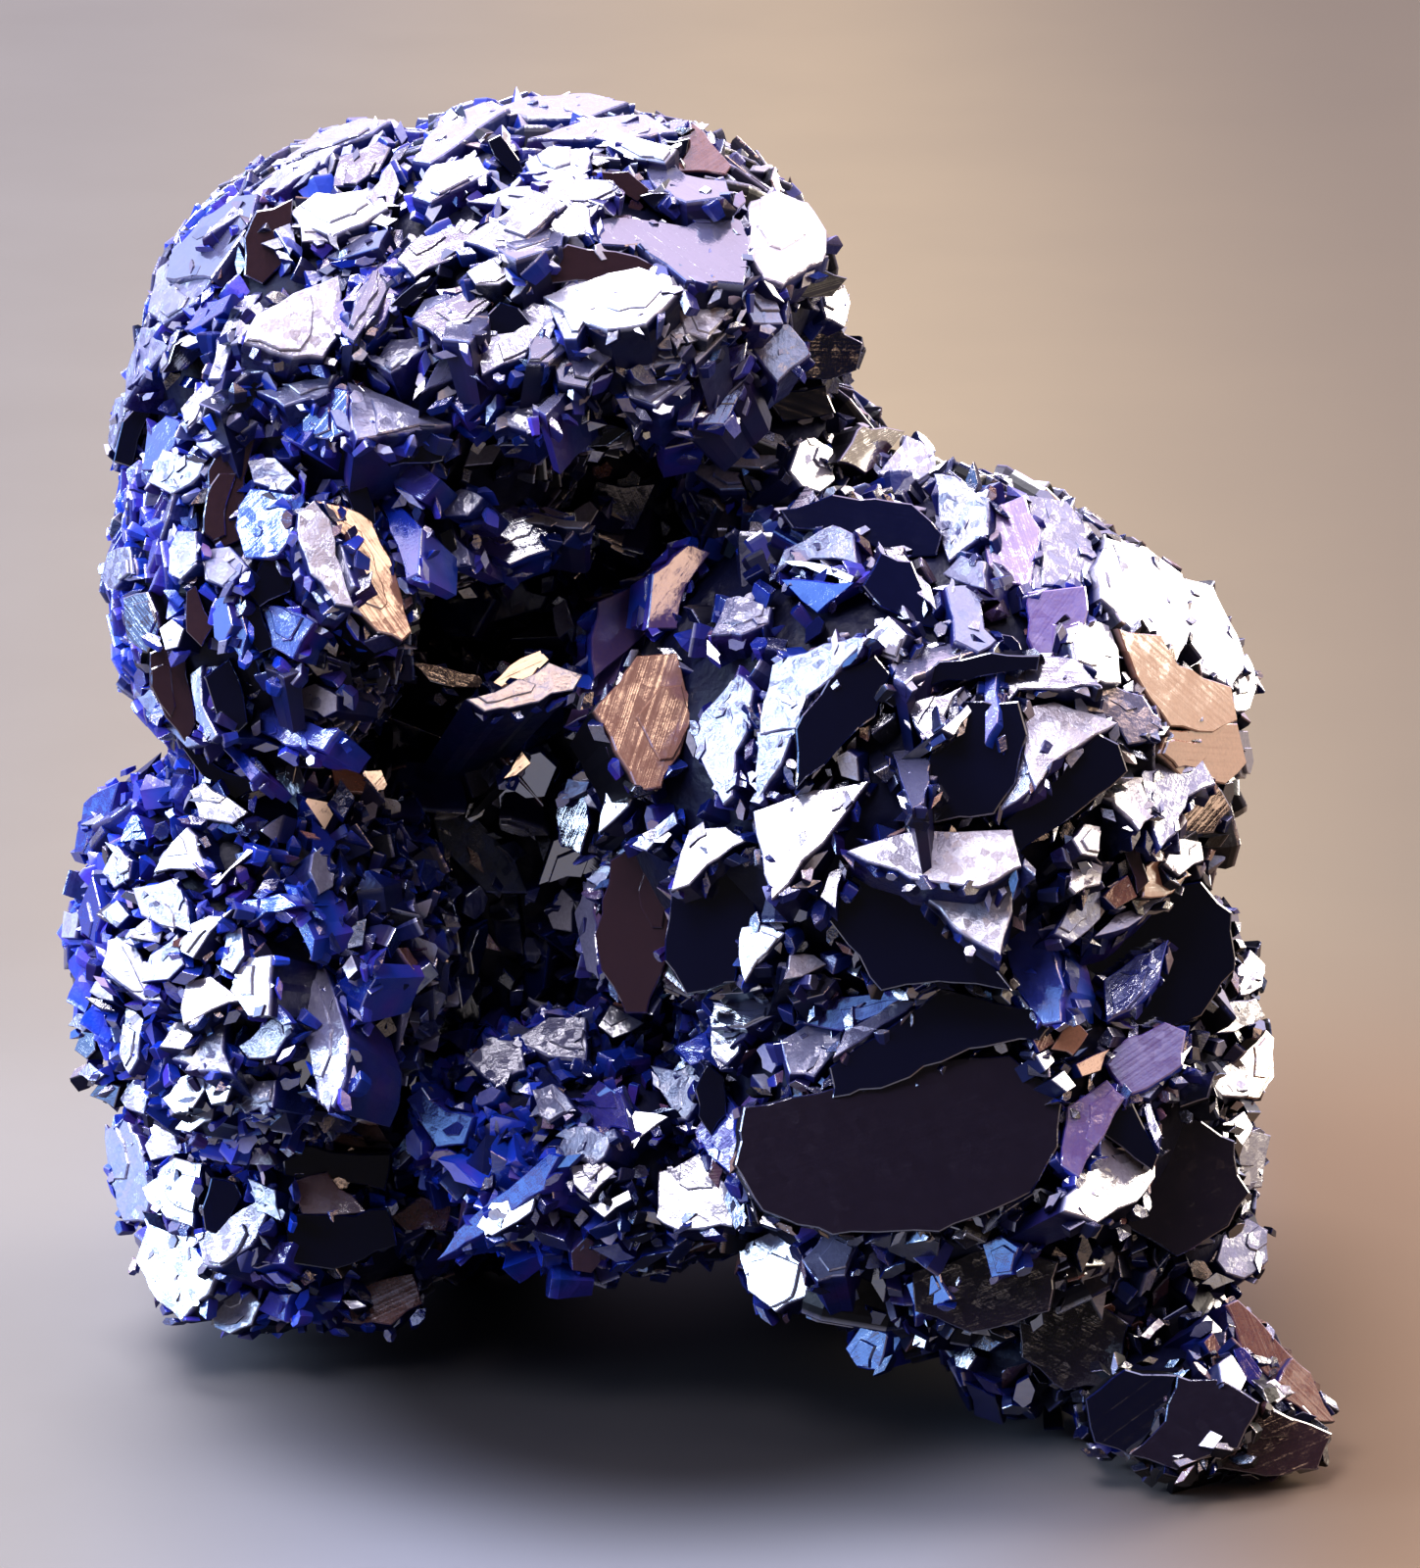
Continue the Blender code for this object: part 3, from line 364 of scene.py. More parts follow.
knotFaces = """
star_violet -33 2 .5 violet 445,1055 481,1051 476,1078
star_a -15 38 .8 grain 475,1081 500,1060 532,1058 535,1091 505,1107
star_b -15 38 .8 grain 523,1063 560,1038 598,1038 597,1082 560,1077
star_c -15 38 .8 white 610,1046 622,1026 657,1042 625,1060
star_d -28 20 .8 grain 543,1111 565,1105 586,1130 560,1147 547,1136
long_rod -34 3 .8 blue 446,1286 468,1256 560,1178 570,1181 553,1216 490,1262
rod_white -34 12 1.1 white 485,1252 500,1227 549,1214 541,1236 500,1260
cluster_a -30 15 .9 grain 564,1176 580,1153 602,1150 627,1160 616,1181 604,1190
cluster_b -24 26 .9 white 582,1190 612,1182 630,1196 601,1224 585,1207
pink_chip -14 38 .9 white 638,1156 648,1133 682,1141 660,1154 645,1167
violet_chip -30 4 .7 violet 580,1141 610,1103 632,1114 642,1151 600,1152
pink_tile -12 38 .9 white 671,1196 712,1178 747,1212 747,1252 690,1254 670,1241
pale_edge -34 10 .8 frost 745,1212 762,1241 750,1254 738,1228
white_shield -32 12 .9 white 753,1271 790,1256 834,1275 822,1322 790,1339 763,1316
grey_oval -10 32 .7 frost 820,1286 845,1256 874,1269 862,1301 835,1307
side_dot -34 10 1.0 white 558,930 572,908 585,920 582,950 565,947
low_fleck -14 38 .8 white 602,1231 640,1213 644,1225 615,1242
blue_shard -32 2 .7 steel 413,1121 430,1110 456,1134 482,1140 472,1167 445,1172
shard_line -34 12 .8 frost 400,1187 425,1159 437,1148 421,1177 406,1192
teal_fin -30 6 .9 steel 413,962 424,920 431,915 473,967 440,972
white_fleck -30 16 1.2 white 410,960 425,953 434,975 429,998 417,987
"""
druseFaces = """
plate_top -8 38 .7 white 194,806 210,799 252,828 236,842 203,836
white_cap -30 16 .7 white 156,892 175,859 190,843 201,855 209,885
thin_line -14 42 .9 white 214,905 255,864 260,868 221,904
cyan_tri -33 8 .6 blue 123,860 134,833 141,833 150,857
speck_a -34 12 .6 grain 103,891 120,863 134,880 131,897 115,907
speck_b -34 10 .6 grain 103,931 120,918 132,935 118,947
speck_c -28 16 .6 grain 133,906 175,898 191,920 197,952 165,947 143,936
speck_d -20 34 .7 white 131,957 150,938 167,950 161,962
blade_a -30 16 .9 white 183,972 194,944 237,928 226,941 196,977
blade_b -33 9 .7 frost 224,987 231,954 247,948 248,976 238,994
white_block -30 14 .9 white 233,1012 242,979 277,974 274,1037 254,1037
speck_e -20 26 .7 grain 103,987 109,959 131,953 143,975 152,997 167,1022 148,1021 124,1006
speck_f -32 12 .8 grain 143,1002 154,974 181,953 187,985 171,1000
white_hat -26 22 .9 white 183,1032 189,1004 215,996 247,1022 216,1032 188,1047
white_step -24 26 .8 white 163,1067 179,1044 202,1043 186,1072
white_leaf -22 28 .8 grain 176,1082 199,1061 232,1038 227,1070 237,1097 204,1092
violet_nub -34 4 .4 frost 90,1012 99,996 113,999 117,1021 99,1020
pale_blade -34 8 .7 frost 123,1077 129,1028 147,1039 142,1081 131,1097
blue_blade_d -33 8 .6 blue 146,1097 159,1073 170,1079 162,1102 149,1112
rust_nub -40 4 .4 rust 76,1072 81,1048 97,1043 97,1072 88,1082
white_nub -36 12 .5 grain 78,1097 90,1083 107,1095 95,1107
rust_low -30 -2 .4 rust 90,1117 104,1103 122,1109 116,1132
pale_low -34 8 .6 frost 123,1122 139,1098 152,1109 146,1137 129,1132
spark_a -30 14 1.0 white 166,1121 184,1098 207,1093 209,1111 196,1132 177,1137
spark_b -28 18 1.0 white 178,1152 194,1129 217,1123 214,1143 195,1157
spark_c -30 14 1.0 white 208,1112 214,1098 237,1107 232,1124 215,1127
speck_g -32 10 .7 grain 230,1116 249,1100 282,1103 277,1132 249,1137
speck_h -30 8 .8 grain 243,1067 269,1048 290,1033 300,1050 281,1077 254,1082
tall_blue -34 8 1.2 frost 301,1011 317,983 331,986 347,1030 354,1060 352,1101 341,1132 327,1127 316,1071
    303,1036
cobalt_fin -34 -2 .9 blue 338,1011 351,998 377,983 382,1000 361,1047 349,1042
cobalt_arc -32 0 .8 blue 238,937 249,918 285,913 302,925 270,932 249,947
cobalt_fall -34 -2 .8 blue 290,905 302,908 322,960 319,982 304,951
small_dot -30 14 1.2 white 348,986 357,976 365,992 355,1000
left_ear -50 2 .4 blue 76,872 84,820 100,808 122,798 111,842 90,872
left_light -40 12 .5 frost 83,842 104,829 127,823 116,844
left_navy -50 0 .4 blue 78,932 94,893 102,930 96,962 84,952
left_fleck -45 10 .5 grain 68,1047 79,1033 97,1039 86,1052
"""
footFaces = """
heel_pale -45 16 .6 frost 106,1152 128,1138 144,1170 152,1215 146,1246 124,1246 110,1200
heel_step -30 24 .7 frost 148,1167 159,1148 179,1158 187,1177 154,1182
pale_deck -30 22 .8 frost 198,1167 214,1149 261,1149 277,1160 241,1187 214,1182
pale_front -33 14 .8 frost 145,1212 178,1180 207,1188 203,1220 196,1252 168,1243 149,1228
pale_low -33 12 .7 frost 206,1290 200,1262 245,1233 264,1223 272,1240 255,1272 225,1292
blue_deck -34 2 .8 blue 213,1151 239,1136 274,1141 261,1153
white_deck -26 26 .8 grain 273,1162 299,1144 336,1133 344,1145 321,1162 290,1167
taupe_wedge 8 24 .8 taupe 328,1162 344,1129 371,1123 405,1174 375,1172
white_heel -34 9 .9 white 136,1286 149,1249 180,1240 206,1254 224,1290 211,1321 185,1347 158,1327
white_toe -34 9 .9 white 215,1336 229,1313 251,1310 266,1330 256,1352 235,1362 218,1354
navy_hole 0 -3 .7 navy 205,1232 216,1203 240,1208 247,1222 226,1262 210,1256
heel_speck -32 12 .8 grain 254,1203 282,1214 288,1247 262,1236
dark_deck 2 -3 .5 black 285,1168 400,1178 392,1215 330,1206 290,1200
brown_deck 0 18 .5 taupe 300,1205 335,1195 375,1235 310,1240
dark_heel 2 0 .6 black 288,1240 345,1240 397,1232 405,1270 340,1296 298,1290
rust_chip 10 2 .7 salmon 400,1243 430,1222 462,1227 454,1254 415,1256
violet_low_a -30 6 .5 violet 232,1296 250,1272 300,1268 290,1290
violet_low_b -30 4 .5 violet 262,1335 275,1316 296,1320 290,1347
mauve_low 0 14 .5 salmon 350,1347 372,1310 421,1300 429,1330 400,1350
low_glint -20 34 .7 white 350,1328 366,1325 375,1333 358,1337
"""
tailFaces = """
bead 26 28 .6 frost 1241,1285 1247,1261 1274,1241 1295,1254 1294,1286 1271,1304 1251,1299
bead_low 40 24 .6 frost 1226,1322 1240,1308 1264,1317 1264,1337 1245,1338
ridge_a 26 10 .7 salmon 1250,1334 1262,1328 1292,1354 1318,1385 1300,1412 1270,1387
ridge_b 28 14 .7 salmon 1318,1385 1338,1400 1362,1452 1345,1450 1300,1420
glint_a 44 26 1.0 white 1224,1356 1232,1343 1247,1357 1241,1367
ember 22 6 .8 salmon 1230,1370 1240,1360 1250,1386 1240,1397
glint_b 44 26 1.0 white 1246,1391 1258,1381 1274,1408 1266,1420 1249,1411
tail_violet 10 10 .8 violet 1257,1374 1270,1376 1287,1400 1281,1417 1270,1406
glint_c 40 26 1.0 cream 1286,1416 1300,1406 1320,1422 1305,1432
glint_d 44 26 .9 white 1328,1435 1334,1430 1348,1448 1340,1449
tail_front_a 0 -4 .5 black 1108,1430 1148,1398 1200,1405 1190,1450 1150,1485 1118,1472
tail_front_b -4 4 .6 charcoal 1200,1405 1250,1412 1285,1432 1262,1480 1200,1502 1150,1485 1190,1450
tail_front_c 16 2 .4 rust 1285,1432 1300,1440 1360,1462 1345,1500 1290,1507 1235,1500 1262,1480
tail_line 10 30 .9 taupe 1198,1492 1262,1474 1266,1480 1205,1497
tail_spot -12 40 1.0 white 1223,1476 1235,1461 1249,1468 1238,1480
root_face -4 -2 .5 charcoal 1040,1345 1110,1325 1150,1350 1140,1410 1085,1420 1042,1385
root_spark 24 28 .8 cream 1165,1364 1184,1346 1188,1352 1172,1368
under_a -6 -2 .5 charcoal 930,1300 1010,1275 1080,1290 1070,1340 990,1360 935,1340
under_b -30 -2 .6 blue 1003,1270 1020,1260 1038,1275 1032,1302 1010,1304
under_c -34 0 .6 blue 862,1376 880,1348 907,1360 897,1397 875,1394
under_d -30 12 .8 frost 903,1328 909,1322 915,1346 909,1347
under_e -30 12 .8 white 930,1372 936,1348 948,1356 944,1376
under_f -30 0 .5 blue 925,1310 960,1300 970,1325 935,1345
"""
# The lobes that each group sits on, and which way its white faces look.
placed = (
    (("crown", "dome", "bowl"), domeFaces, "high"),
    (("dome", "bowl"), bowlFaces, "high"),
    (("middle", "backTop"), recessFaces, "front"),
    (("shoulder", "neck"), shoulderFaces, "front"),
    (("belly", "hip", "shoulder"), bellyFaces, "front"),
    (("knot", "belly"), knotFaces, "front"),
    (("druse",), druseFaces, "front"),
    (("foot",), footFaces, "front"),
    (("tail", "heel", "hip", "belly"), tailFaces, "front"),
)
# Faces are fitted to the lights. White ones turn to the nearest angle that throws a light at
# the eye, with a little scatter. The other finishes named here are moved off the angles that
# would turn them white. Every pair is turn and lift, in degrees.
facing = {
    "high": (-13, 42), "front": (-10, 19), "sides": ((-34, 9), (45, 24)), "scatter": 3,
    "coloured": ("clear", "frost", "steel", "violet", "salmon", "taupe", "blue"),
    "overhead": ((-26, 0), (33, 51)), "left": ((-42, -26), (0, 19)),
}


def inZone(turn, lift, zone):
    return zone[0][0] < turn < zone[0][1] and zone[1][0] < lift < zone[1][1]


def fittedAngles(name, turn, lift, finish, group):
    # The pick comes from the letters of the name, so it is the same in each run.
    pick = zlib.crc32(name.encode())
    if finish in facing["coloured"]:
        if inZone(turn, lift, facing["overhead"]):
            turn, lift = ((14, lift), (turn, 60), (-36, lift), (-8, 24))[pick % 4]
        if inZone(turn, lift, facing["left"]):
            turn, lift = ((-34, 22), (-46, lift), (-25, lift), (-34, 24))[pick % 4]
    if finish == "white":
        bright = (facing[group],) + facing["sides"]
        turn, lift = min(bright, key=lambda angles: abs(turn - angles[0]) + abs(lift - angles[1]))
        spread = 2 * facing["scatter"] + 1
        turn += pick % spread - facing["scatter"]
        lift += pick // spread % spread - facing["scatter"]
    return turn, lift


def crystalRows(text, group):
    # Name, turn, lift, stand-out, finish and the corners in mm, for each line of a group.
    rows = []
    for line in text.replace("\n    ", " ").strip().splitlines():
        name, turn, lift, stand, finish, *marks = line.split()
        turn, lift = fittedAngles(name, int(turn), int(lift), finish, group)
        corners = []
        for mark in marks:
            acrossAt, downAt = (float(part) for part in mark.split(","))
            corners.append((round((acrossAt - grid["across"]) / grid["perMm"], 1),
                            round((grid["down"] - downAt) / grid["perMm"], 1)))
        rows.append((name, turn, lift, round(float(stand), 1), finish, corners))
    return rows


class Sock:
    # A socket that can be added, multiplied and so on; each sign adds a Math node.
    def __init__(self, tree, link):
        self.tree = tree
        self.link = link

    def math(self, operation, other, flipped=False):
        maths = self.tree.nodes.new("ShaderNodeMath")
        maths.operation = operation
        pair = (other, self) if flipped else (self, other)
        for place, value in enumerate(pair):
            if isinstance(value, Sock):
                self.tree.links.new(value.link, maths.inputs[place])
            else:
                maths.inputs[place].default_value = value
        return Sock(self.tree, maths.outputs[0])

    def __add__(self, other):
        return self.math("ADD", other)

    def __mul__(self, other):
        return self.math("MULTIPLY", other)

    def __sub__(self, other):
        return self.math("SUBTRACT", other)

    def __pow__(self, other):
        return self.math("POWER", other)

    def __rsub__(self, other):
        return self.math("SUBTRACT", other, flipped=True)

    __radd__ = __add__
    __rmul__ = __mul__


class Shader:
    # A node tree with one way of adding any node: a new material's, or the one it is given.
    def __init__(self, name, tree=None):
        self.tree = tree
        if tree is None:
            self.material = bpy.data.materials.new(name)
            self.material.use_nodes = True
            self.tree = self.material.node_tree
            self.surface = self.tree.nodes["Principled BSDF"]

    def node(self, kind, settings=None, values=None, output=0):
        made = self.tree.nodes.new(kind)
        for key, value in (settings or {}).items():
            if key == "stops":
                self.setStops(made.color_ramp, value)
            else:
                setattr(made, key, value)
        for key, value in (values or {}).items():
            self.feed(made.inputs[key], value)
        return Sock(self.tree, made.outputs[output])

    def feed(self, socket, value):
        if isinstance(value, Sock):
            self.tree.links.new(value.link, socket)
        else:
            socket.default_value = value

    def setStops(self, ramp, stops):
        while len(ramp.elements) < len(stops):
            ramp.elements.new(0.5)
        for element, (place, colour) in zip(ramp.elements, stops):
            element.position = place
            element.color = colour

    def attribute(self, name, output="Fac"):
        return self.node("ShaderNodeAttribute", {"attribute_name": name}, output=output)

    def mixColour(self, amount, first, second):
        return self.node(
            "ShaderNodeMix",
            {"data_type": "RGBA", "clamp_factor": True},
            {0: amount, 6: first, 7: second},
            output=2,
        )


azuriteLook = {
    "deep": (0.0011, 0.0010, 0.0016, 1.0),
    "body": (0.0014, 0.0034, 0.040, 1.0),
    "bright": (0.004, 0.030, 0.42, 1.0),
    "stainedAndWarmGlint": (0.22, 0.092, 0.046, 1.0),
    "pale": (0.45, 0.43, 0.50, 1.0),
    "smooth": 0.055,
    "rough": 0.26,
    "index": 1.90,
    "specular": 1.0,
    "facets": 3.2,        # tiny facets to a millimetre
    "facetTilt": 0.40,
    "lines": 4.0,         # growth lines to a millimetre
    "lineDepth": 0.06,
    "grains": 9.0,        # grains to a millimetre
    "grainDepth": 0.30,
    "waves": 0.8,
    "waveDepth": 0.10,
    "bumpDepth": 0.12,    # mm
    "patches": 0.55,      # patches of darker and lighter blue to a millimetre
    "patchRough": 0.05,
    "rootDark": (0.0006, 0.0005, 0.0012, 1.0),
    "rootBlue": (0.006, 0.042, 0.44, 1.0),
    "rootViolet": (0.060, 0.022, 0.26, 1.0),
    "rootRough": 0.45,
    "rootSpecular": 0.18,
    "rootReach": 2.2,     # how soon a side turns dull, down from the face
}
massLook = {
    "dark": (0.0012, 0.0012, 0.003, 1.0),
    "lit": (0.003, 0.004, 0.022, 1.0),
    "clouds": 900.0,      # to a metre
    "rough": 0.3,
    "roughSway": 0.3,
    "bump": 0.8,
    "bumpDepth": 0.2,     # mm
    "specular": 0.12,
}


def makeAzurite():
    look = azuriteLook
    sh = Shader("azurite")
    place = sh.node("ShaderNodeTexCoord", output="Object")
    inMm = sh.node("ShaderNodeVectorMath", {"operation": "SCALE"}, {0: place, "Scale": 1000.0})
    edge = sh.attribute("edge")
    tone = sh.attribute("tone")
    grain = sh.attribute("grain")
    stain = sh.attribute("stain")
    pale = sh.attribute("pale")
    runs = sh.attribute("runs", "Vector")
    step = sh.node("ShaderNodeVectorMath", {"operation": "DOT_PRODUCT"}, {0: inMm, 1: runs},
                   output="Value")
    patches = sh.node("ShaderNodeTexNoise", {}, {"Vector": inMm, "Scale": look["patches"], "Detail": 2.0})
    lines = sh.node("ShaderNodeTexNoise", {"noise_dimensions": "1D"},
                    {"W": step, "Scale": look["lines"], "Detail": 3.0, "Roughness": 0.6})
    waves = sh.node("ShaderNodeTexNoise", {}, {"Vector": inMm, "Scale": look["waves"],
                                               "Detail": 1.0})
    grains = sh.node("ShaderNodeTexNoise", {}, {"Vector": inMm, "Scale": look["grains"],
                                                "Detail": 3.0, "Roughness": 0.65})
    shade = sh.mixColour(tone * (patches + 0.5), look["deep"], look["body"])
    # Painted highlight: along the rims the colour turns bright blue, and strongly toned faces turn bluer.
    shine = edge * (tone * 0.7 + 0.15) + tone * tone * tone * 0.45
    shade = sh.mixColour(shine, shade, look["bright"])
    # Stain and painted warm glint: faces are mixed toward a tan that is partly a real stain and partly
    # the warm light they reflect.
    shade = sh.mixColour(stain * (grains * 0.8 + 0.6), shade, look["stainedAndWarmGlint"])
    # Painted highlight: faces are mixed toward a whitish lilac grey that stands in for the light they
    # reflect.
    shade = sh.mixColour(pale * (grains + 0.5), shade, look["pale"])
    sh.feed(sh.surface.inputs["Base Color"], shade)
    rough = grain * (look["rough"] - look["smooth"]) + look["smooth"] + patches * look["patchRough"]
    sh.feed(sh.surface.inputs["Roughness"], rough)
    # Tiny flat facets: every cell leans its own way.
    cells = sh.node("ShaderNodeTexVoronoi", {}, {"Vector": inMm, "Scale": look["facets"]},
                    output="Color")
    leaning = sh.node("ShaderNodeVectorMath", {"operation": "SUBTRACT"},
                      {0: cells, 1: (0.5, 0.5, 0.5)})
    leaning = sh.node("ShaderNodeVectorMath", {"operation": "SCALE"},
                      {0: leaning, "Scale": grain * look["facetTilt"]})
    flat = sh.node("ShaderNodeNewGeometry", output="Normal")
    leaning = sh.node("ShaderNodeVectorMath", {"operation": "ADD"}, {0: leaning, 1: flat})
    leaning = sh.node("ShaderNodeVectorMath", {"operation": "NORMALIZE"}, {0: leaning})
    height = lines * look["lineDepth"] + waves * look["waveDepth"]
    height = height + (grains - 0.5) * grain * look["grainDepth"]
    bump = sh.node("ShaderNodeBump", {}, {"Strength": 1.0, "Distance": look["bumpDepth"] * mm,
                                          "Height": height, "Normal": leaning})
    sh.feed(sh.surface.inputs["Normal"], bump)
    sh.surface.inputs["IOR"].default_value = look["index"]
    sh.surface.inputs["Specular IOR Level"].default_value = look["specular"]
    # Roots and sides, where light sinks into the crystal: dull, from black to cobalt.
    root = sh.attribute("root")
    sink = sh.mixColour(patches * 3.0 - 1.2, look["rootBlue"], look["rootViolet"])
    dull = sh.node("ShaderNodeBsdfPrincipled", {}, {
        "Base Color": sh.mixColour(tone * tone * (patches * 1.4 + 0.2), look["rootDark"], sink),
        "Roughness": look["rootRough"], "Specular IOR Level": look["rootSpecular"], "Normal": bump})
    both = sh.node("ShaderNodeMixShader", {}, {
        0: root * look["rootReach"], 1: Sock(sh.tree, sh.surface.outputs[0]), 2: dull})
    sh.feed(sh.tree.nodes["Material Output"].inputs["Surface"], both)
    return sh.material


def makeDarkMass():
    look = massLook
    sh = Shader("azurite_mass")
    place = sh.node("ShaderNodeTexCoord", output="Object")
    clouds = sh.node("ShaderNodeTexNoise", {}, {"Vector": place, "Scale": look["clouds"], "Detail": 4.0})
    sh.feed(sh.surface.inputs["Base Color"], sh.mixColour(clouds, look["dark"], look["lit"]))
    sh.feed(sh.surface.inputs["Roughness"], clouds * look["roughSway"] + look["rough"])
    bump = sh.node("ShaderNodeBump", {}, {"Strength": look["bump"], "Distance": look["bumpDepth"] * mm,
                                          "Height": clouds})
    sh.feed(sh.surface.inputs["Normal"], bump)
    sh.surface.inputs["Specular IOR Level"].default_value = look["specular"]
    return sh.material


def lobeNormal(point, lobe):
    centre, radii = lobes[lobe]
    return Vector([(point[axis] - centre[axis]) / radii[axis] ** 2 for axis in range(3)]).normalized()


def lobeShare(point, lobe):
    centre, radii = lobes[lobe]
    return math.sqrt(sum(((point[axis] - centre[axis]) / radii[axis]) ** 2 for axis in range(3)))


def sightHit(acrossMm, upMm, names):
    # First lobe surface on the line of sight, or the nearest one if it misses.
    target = middle + across * acrossMm + upward * (upMm - show["centreUp"])
    sight = (target - eye).normalized()
    best = None
    nearest = None
    for lobe in names:
        centre, radii = lobes[lobe]
        start = Vector([(eye[axis] - centre[axis]) / radii[axis] for axis in range(3)])
        step = Vector([sight[axis] / radii[axis] for axis in range(3)])
        root = start.dot(step) ** 2 - step.dot(step) * (start.dot(start) - 1.0)
        if root > 0.0:
            distance = (-start.dot(step) - math.sqrt(root)) / step.dot(step)
            if best is None or distance < best:
                best = distance
        else:
            near = eye + sight * (Vector(centre) - eye).dot(sight)
            share = lobeShare(near, lobe)
            if nearest is None or share < nearest[0]:
                nearest = (share, Vector(centre) + (near - Vector(centre)) / share)
    return eye + sight * best if best is not None else nearest[1]


# Each finish: tone, grain, then the share of tan (partly a real stain, partly a painted warm glint) and
# of whitish lilac grey (a painted highlight standing in for the light the face reflects).
finishes = {
    "clear": (0.30, 0.12, 0.0, 0.09),
    "frost": (0.45, 0.35, 0.0, 0.19),
    "grain": (0.50, 1.0, 0.0, 0.14),
    "white": (0.30, 0.22, 0.0, 0.50),
    "cream": (0.20, 0.80, 0.22, 0.40),
    "tan": (0.05, 0.05, 0.90, 0.05),
    "salmon": (0.45, 0.10, 0.62, 0.0),
    "rose": (1.0, 0.12, 0.42, 0.03),
    "ivory": (0.30, 0.30, 0.12, 0.60),
    "speckle": (0.40, 1.0, 0.18, 0.40),
    "taupe": (0.05, 0.20, 0.30, 0.05),
    "rust": (0.05, 0.12, 0.10, 0.0),
    "blue": (0.85, 0.15, 0.0, 0.0),
    "steel": (0.85, 0.25, 0.0, 0.03),
    "violet": (0.75, 0.12, 0.08, 0.0),
    "navy": (0.12, 0.12, 0.0, 0.0),
    "charcoal": (0.0, 0.25, 0.02, 0.002),
    "black": (0.0, 0.04, 0.0, 0.0),
}
# The body under a face, as shares of its smaller size, and in mm.
crystalCut = {
    "share": 0.022, "most": 0.040, "least": 0.015,      # the narrow cut round the face
    "flare": 1.02, "flareDrop": 0.16, "rootScale": 0.78,
    "rootLeast": 1.2, "rootShare": 0.40,
    "sharpest": 0.3, "mitre": 2.0, "mitreMost": 1.6,    # how far a corner may move in
}
# Ragged edges and terraces of the larger faces, mm and shares.
wear = {
    "nicksMost": 3, "nickAt": (0.6, 1.4), "nickOut": (-1.0, 0.7), "nickShare": 0.09,
    "hubReach": 0.88, "slimmest": 0.22, "terraceSink": 0.05,
    "edgeLength": 0.75, "edgeDepth": 0.10, "terraceFrom": 1.1, "terraceRise": (0.05, 0.13),
    "terraceShare": (0.42, 0.72), "terraced": 0.6,
    "plain": ("black", "charcoal", "navy"),
}


def onPlane(acrossMm, upMm, point, face):
    # Where the line of sight through this place of the drawing meets a crystal's face.
    target = middle + across * acrossMm + upward * (upMm - show["centreUp"])
    sight = (target - eye).normalized()
    return eye + sight * ((point - eye).dot(face) / sight.dot(face))


def faceNormal(turn, lift):
    turn, lift = math.radians(turn), math.radians(lift)
    return (across * math.sin(turn) * math.cos(lift) + upward * math.sin(lift)
            + toward * math.cos(turn) * math.cos(lift))


def placedCrystals():
    made = []
    for names, text, group in placed:
        for name, turn, lift, stand, finish, corners in crystalRows(text, group):
            acrossMm = sum(corner[0] for corner in corners) / len(corners)
            upMm = sum(corner[1] for corner in corners) / len(corners)
            point = sightHit(acrossMm, upMm, names) + toward * stand
            face = faceNormal(turn, lift)
            spots = [onPlane(corner[0], corner[1], point, face) for corner in corners]
            made.append(crystalFrom(name, spots, face, stand, finish))
    return made


def crystalFrom(name, spots, face, stand, finish):
    # A placed crystal: its face's corners, middle, longest direction and size.
    centre = sum(spots, Vector()) / len(spots)
    far = max(spots, key=lambda spot: (spot - centre).length)
    along = (far - centre).normalized()
    side = face.cross(along)
    length = max(abs((spot - centre).dot(along)) for spot in spots) * 2.0
    width = max(abs((spot - centre).dot(side)) for spot in spots) * 2.0
    return {
        "name": name, "spots": spots, "centre": centre, "along": along, "side": side,
        "face": face, "length": length, "width": width,
        "root": crystalCut["rootLeast"] + crystalCut["rootShare"] * min(length, width) + stand,
        "finish": finish,
    }


def inPlane(spots, face):
    # The corners in order, counted round the face's own direction.
    turn = Vector()
    for spot, after in zip(spots, spots[1:] + spots[:1]):
        turn += spot.cross(after)
    return list(spots) if turn.dot(face) > 0.0 else list(reversed(spots))


def insetSpots(spots, face, cut):
    # Every side moved in by the cut.
    made = []
    for rank, spot in enumerate(spots):
        before = (spot - spots[rank - 1]).normalized()
        after = (spots[(rank + 1) % len(spots)] - spot).normalized()
        inward = face.cross(before) + face.cross(after)
        if inward.length < crystalCut["sharpest"]:
            inward = (after - before).normalized() * crystalCut["sharpest"]
        reach = min(crystalCut["mitre"] * cut / inward.length_squared,
                    crystalCut["mitreMost"] * cut / inward.length)
        made.append(spot + inward * reach)
    return made


def raggedSpots(spots, face, rng):
    # Longer sides gain a few shallow nicks.
    made = []
    for rank, spot in enumerate(spots):
        side = spots[(rank + 1) % len(spots)] - spot
        made.append(spot)
        nicks = min(wear["nicksMost"], int(side.length / wear["edgeLength"]))
        outward = side.normalized().cross(face)
        for nick in range(nicks):
            share = (nick + rng.uniform(*wear["nickAt"])) / (nicks + 1.0)
            depth = min(wear["edgeDepth"], wear["nickShare"] * side.length)
            made.append(spot + side * share + outward * rng.uniform(*wear["nickOut"]) * depth)
    return made


def loft(shape, rings, fills, layers):
    # One closed body through rings of corners, first ring uppermost.
    rows = []
    for ring, fill in zip(rings, fills):
        row = []
        for spot in ring:
            corner = shape.verts.new(spot)
            for label, value in fill.items():
                corner[layers[label]] = value
            row.append(corner)
        rows.append(row)
    count = len(rows[0])
    shape.faces.new(rows[0])
    shape.faces.new(list(reversed(rows[-1])))
    for upper, lower in zip(rows, rows[1:]):
        for rank in range(count):
            after = (rank + 1) % count
            shape.faces.new((upper[after], upper[rank], lower[rank], lower[after]))


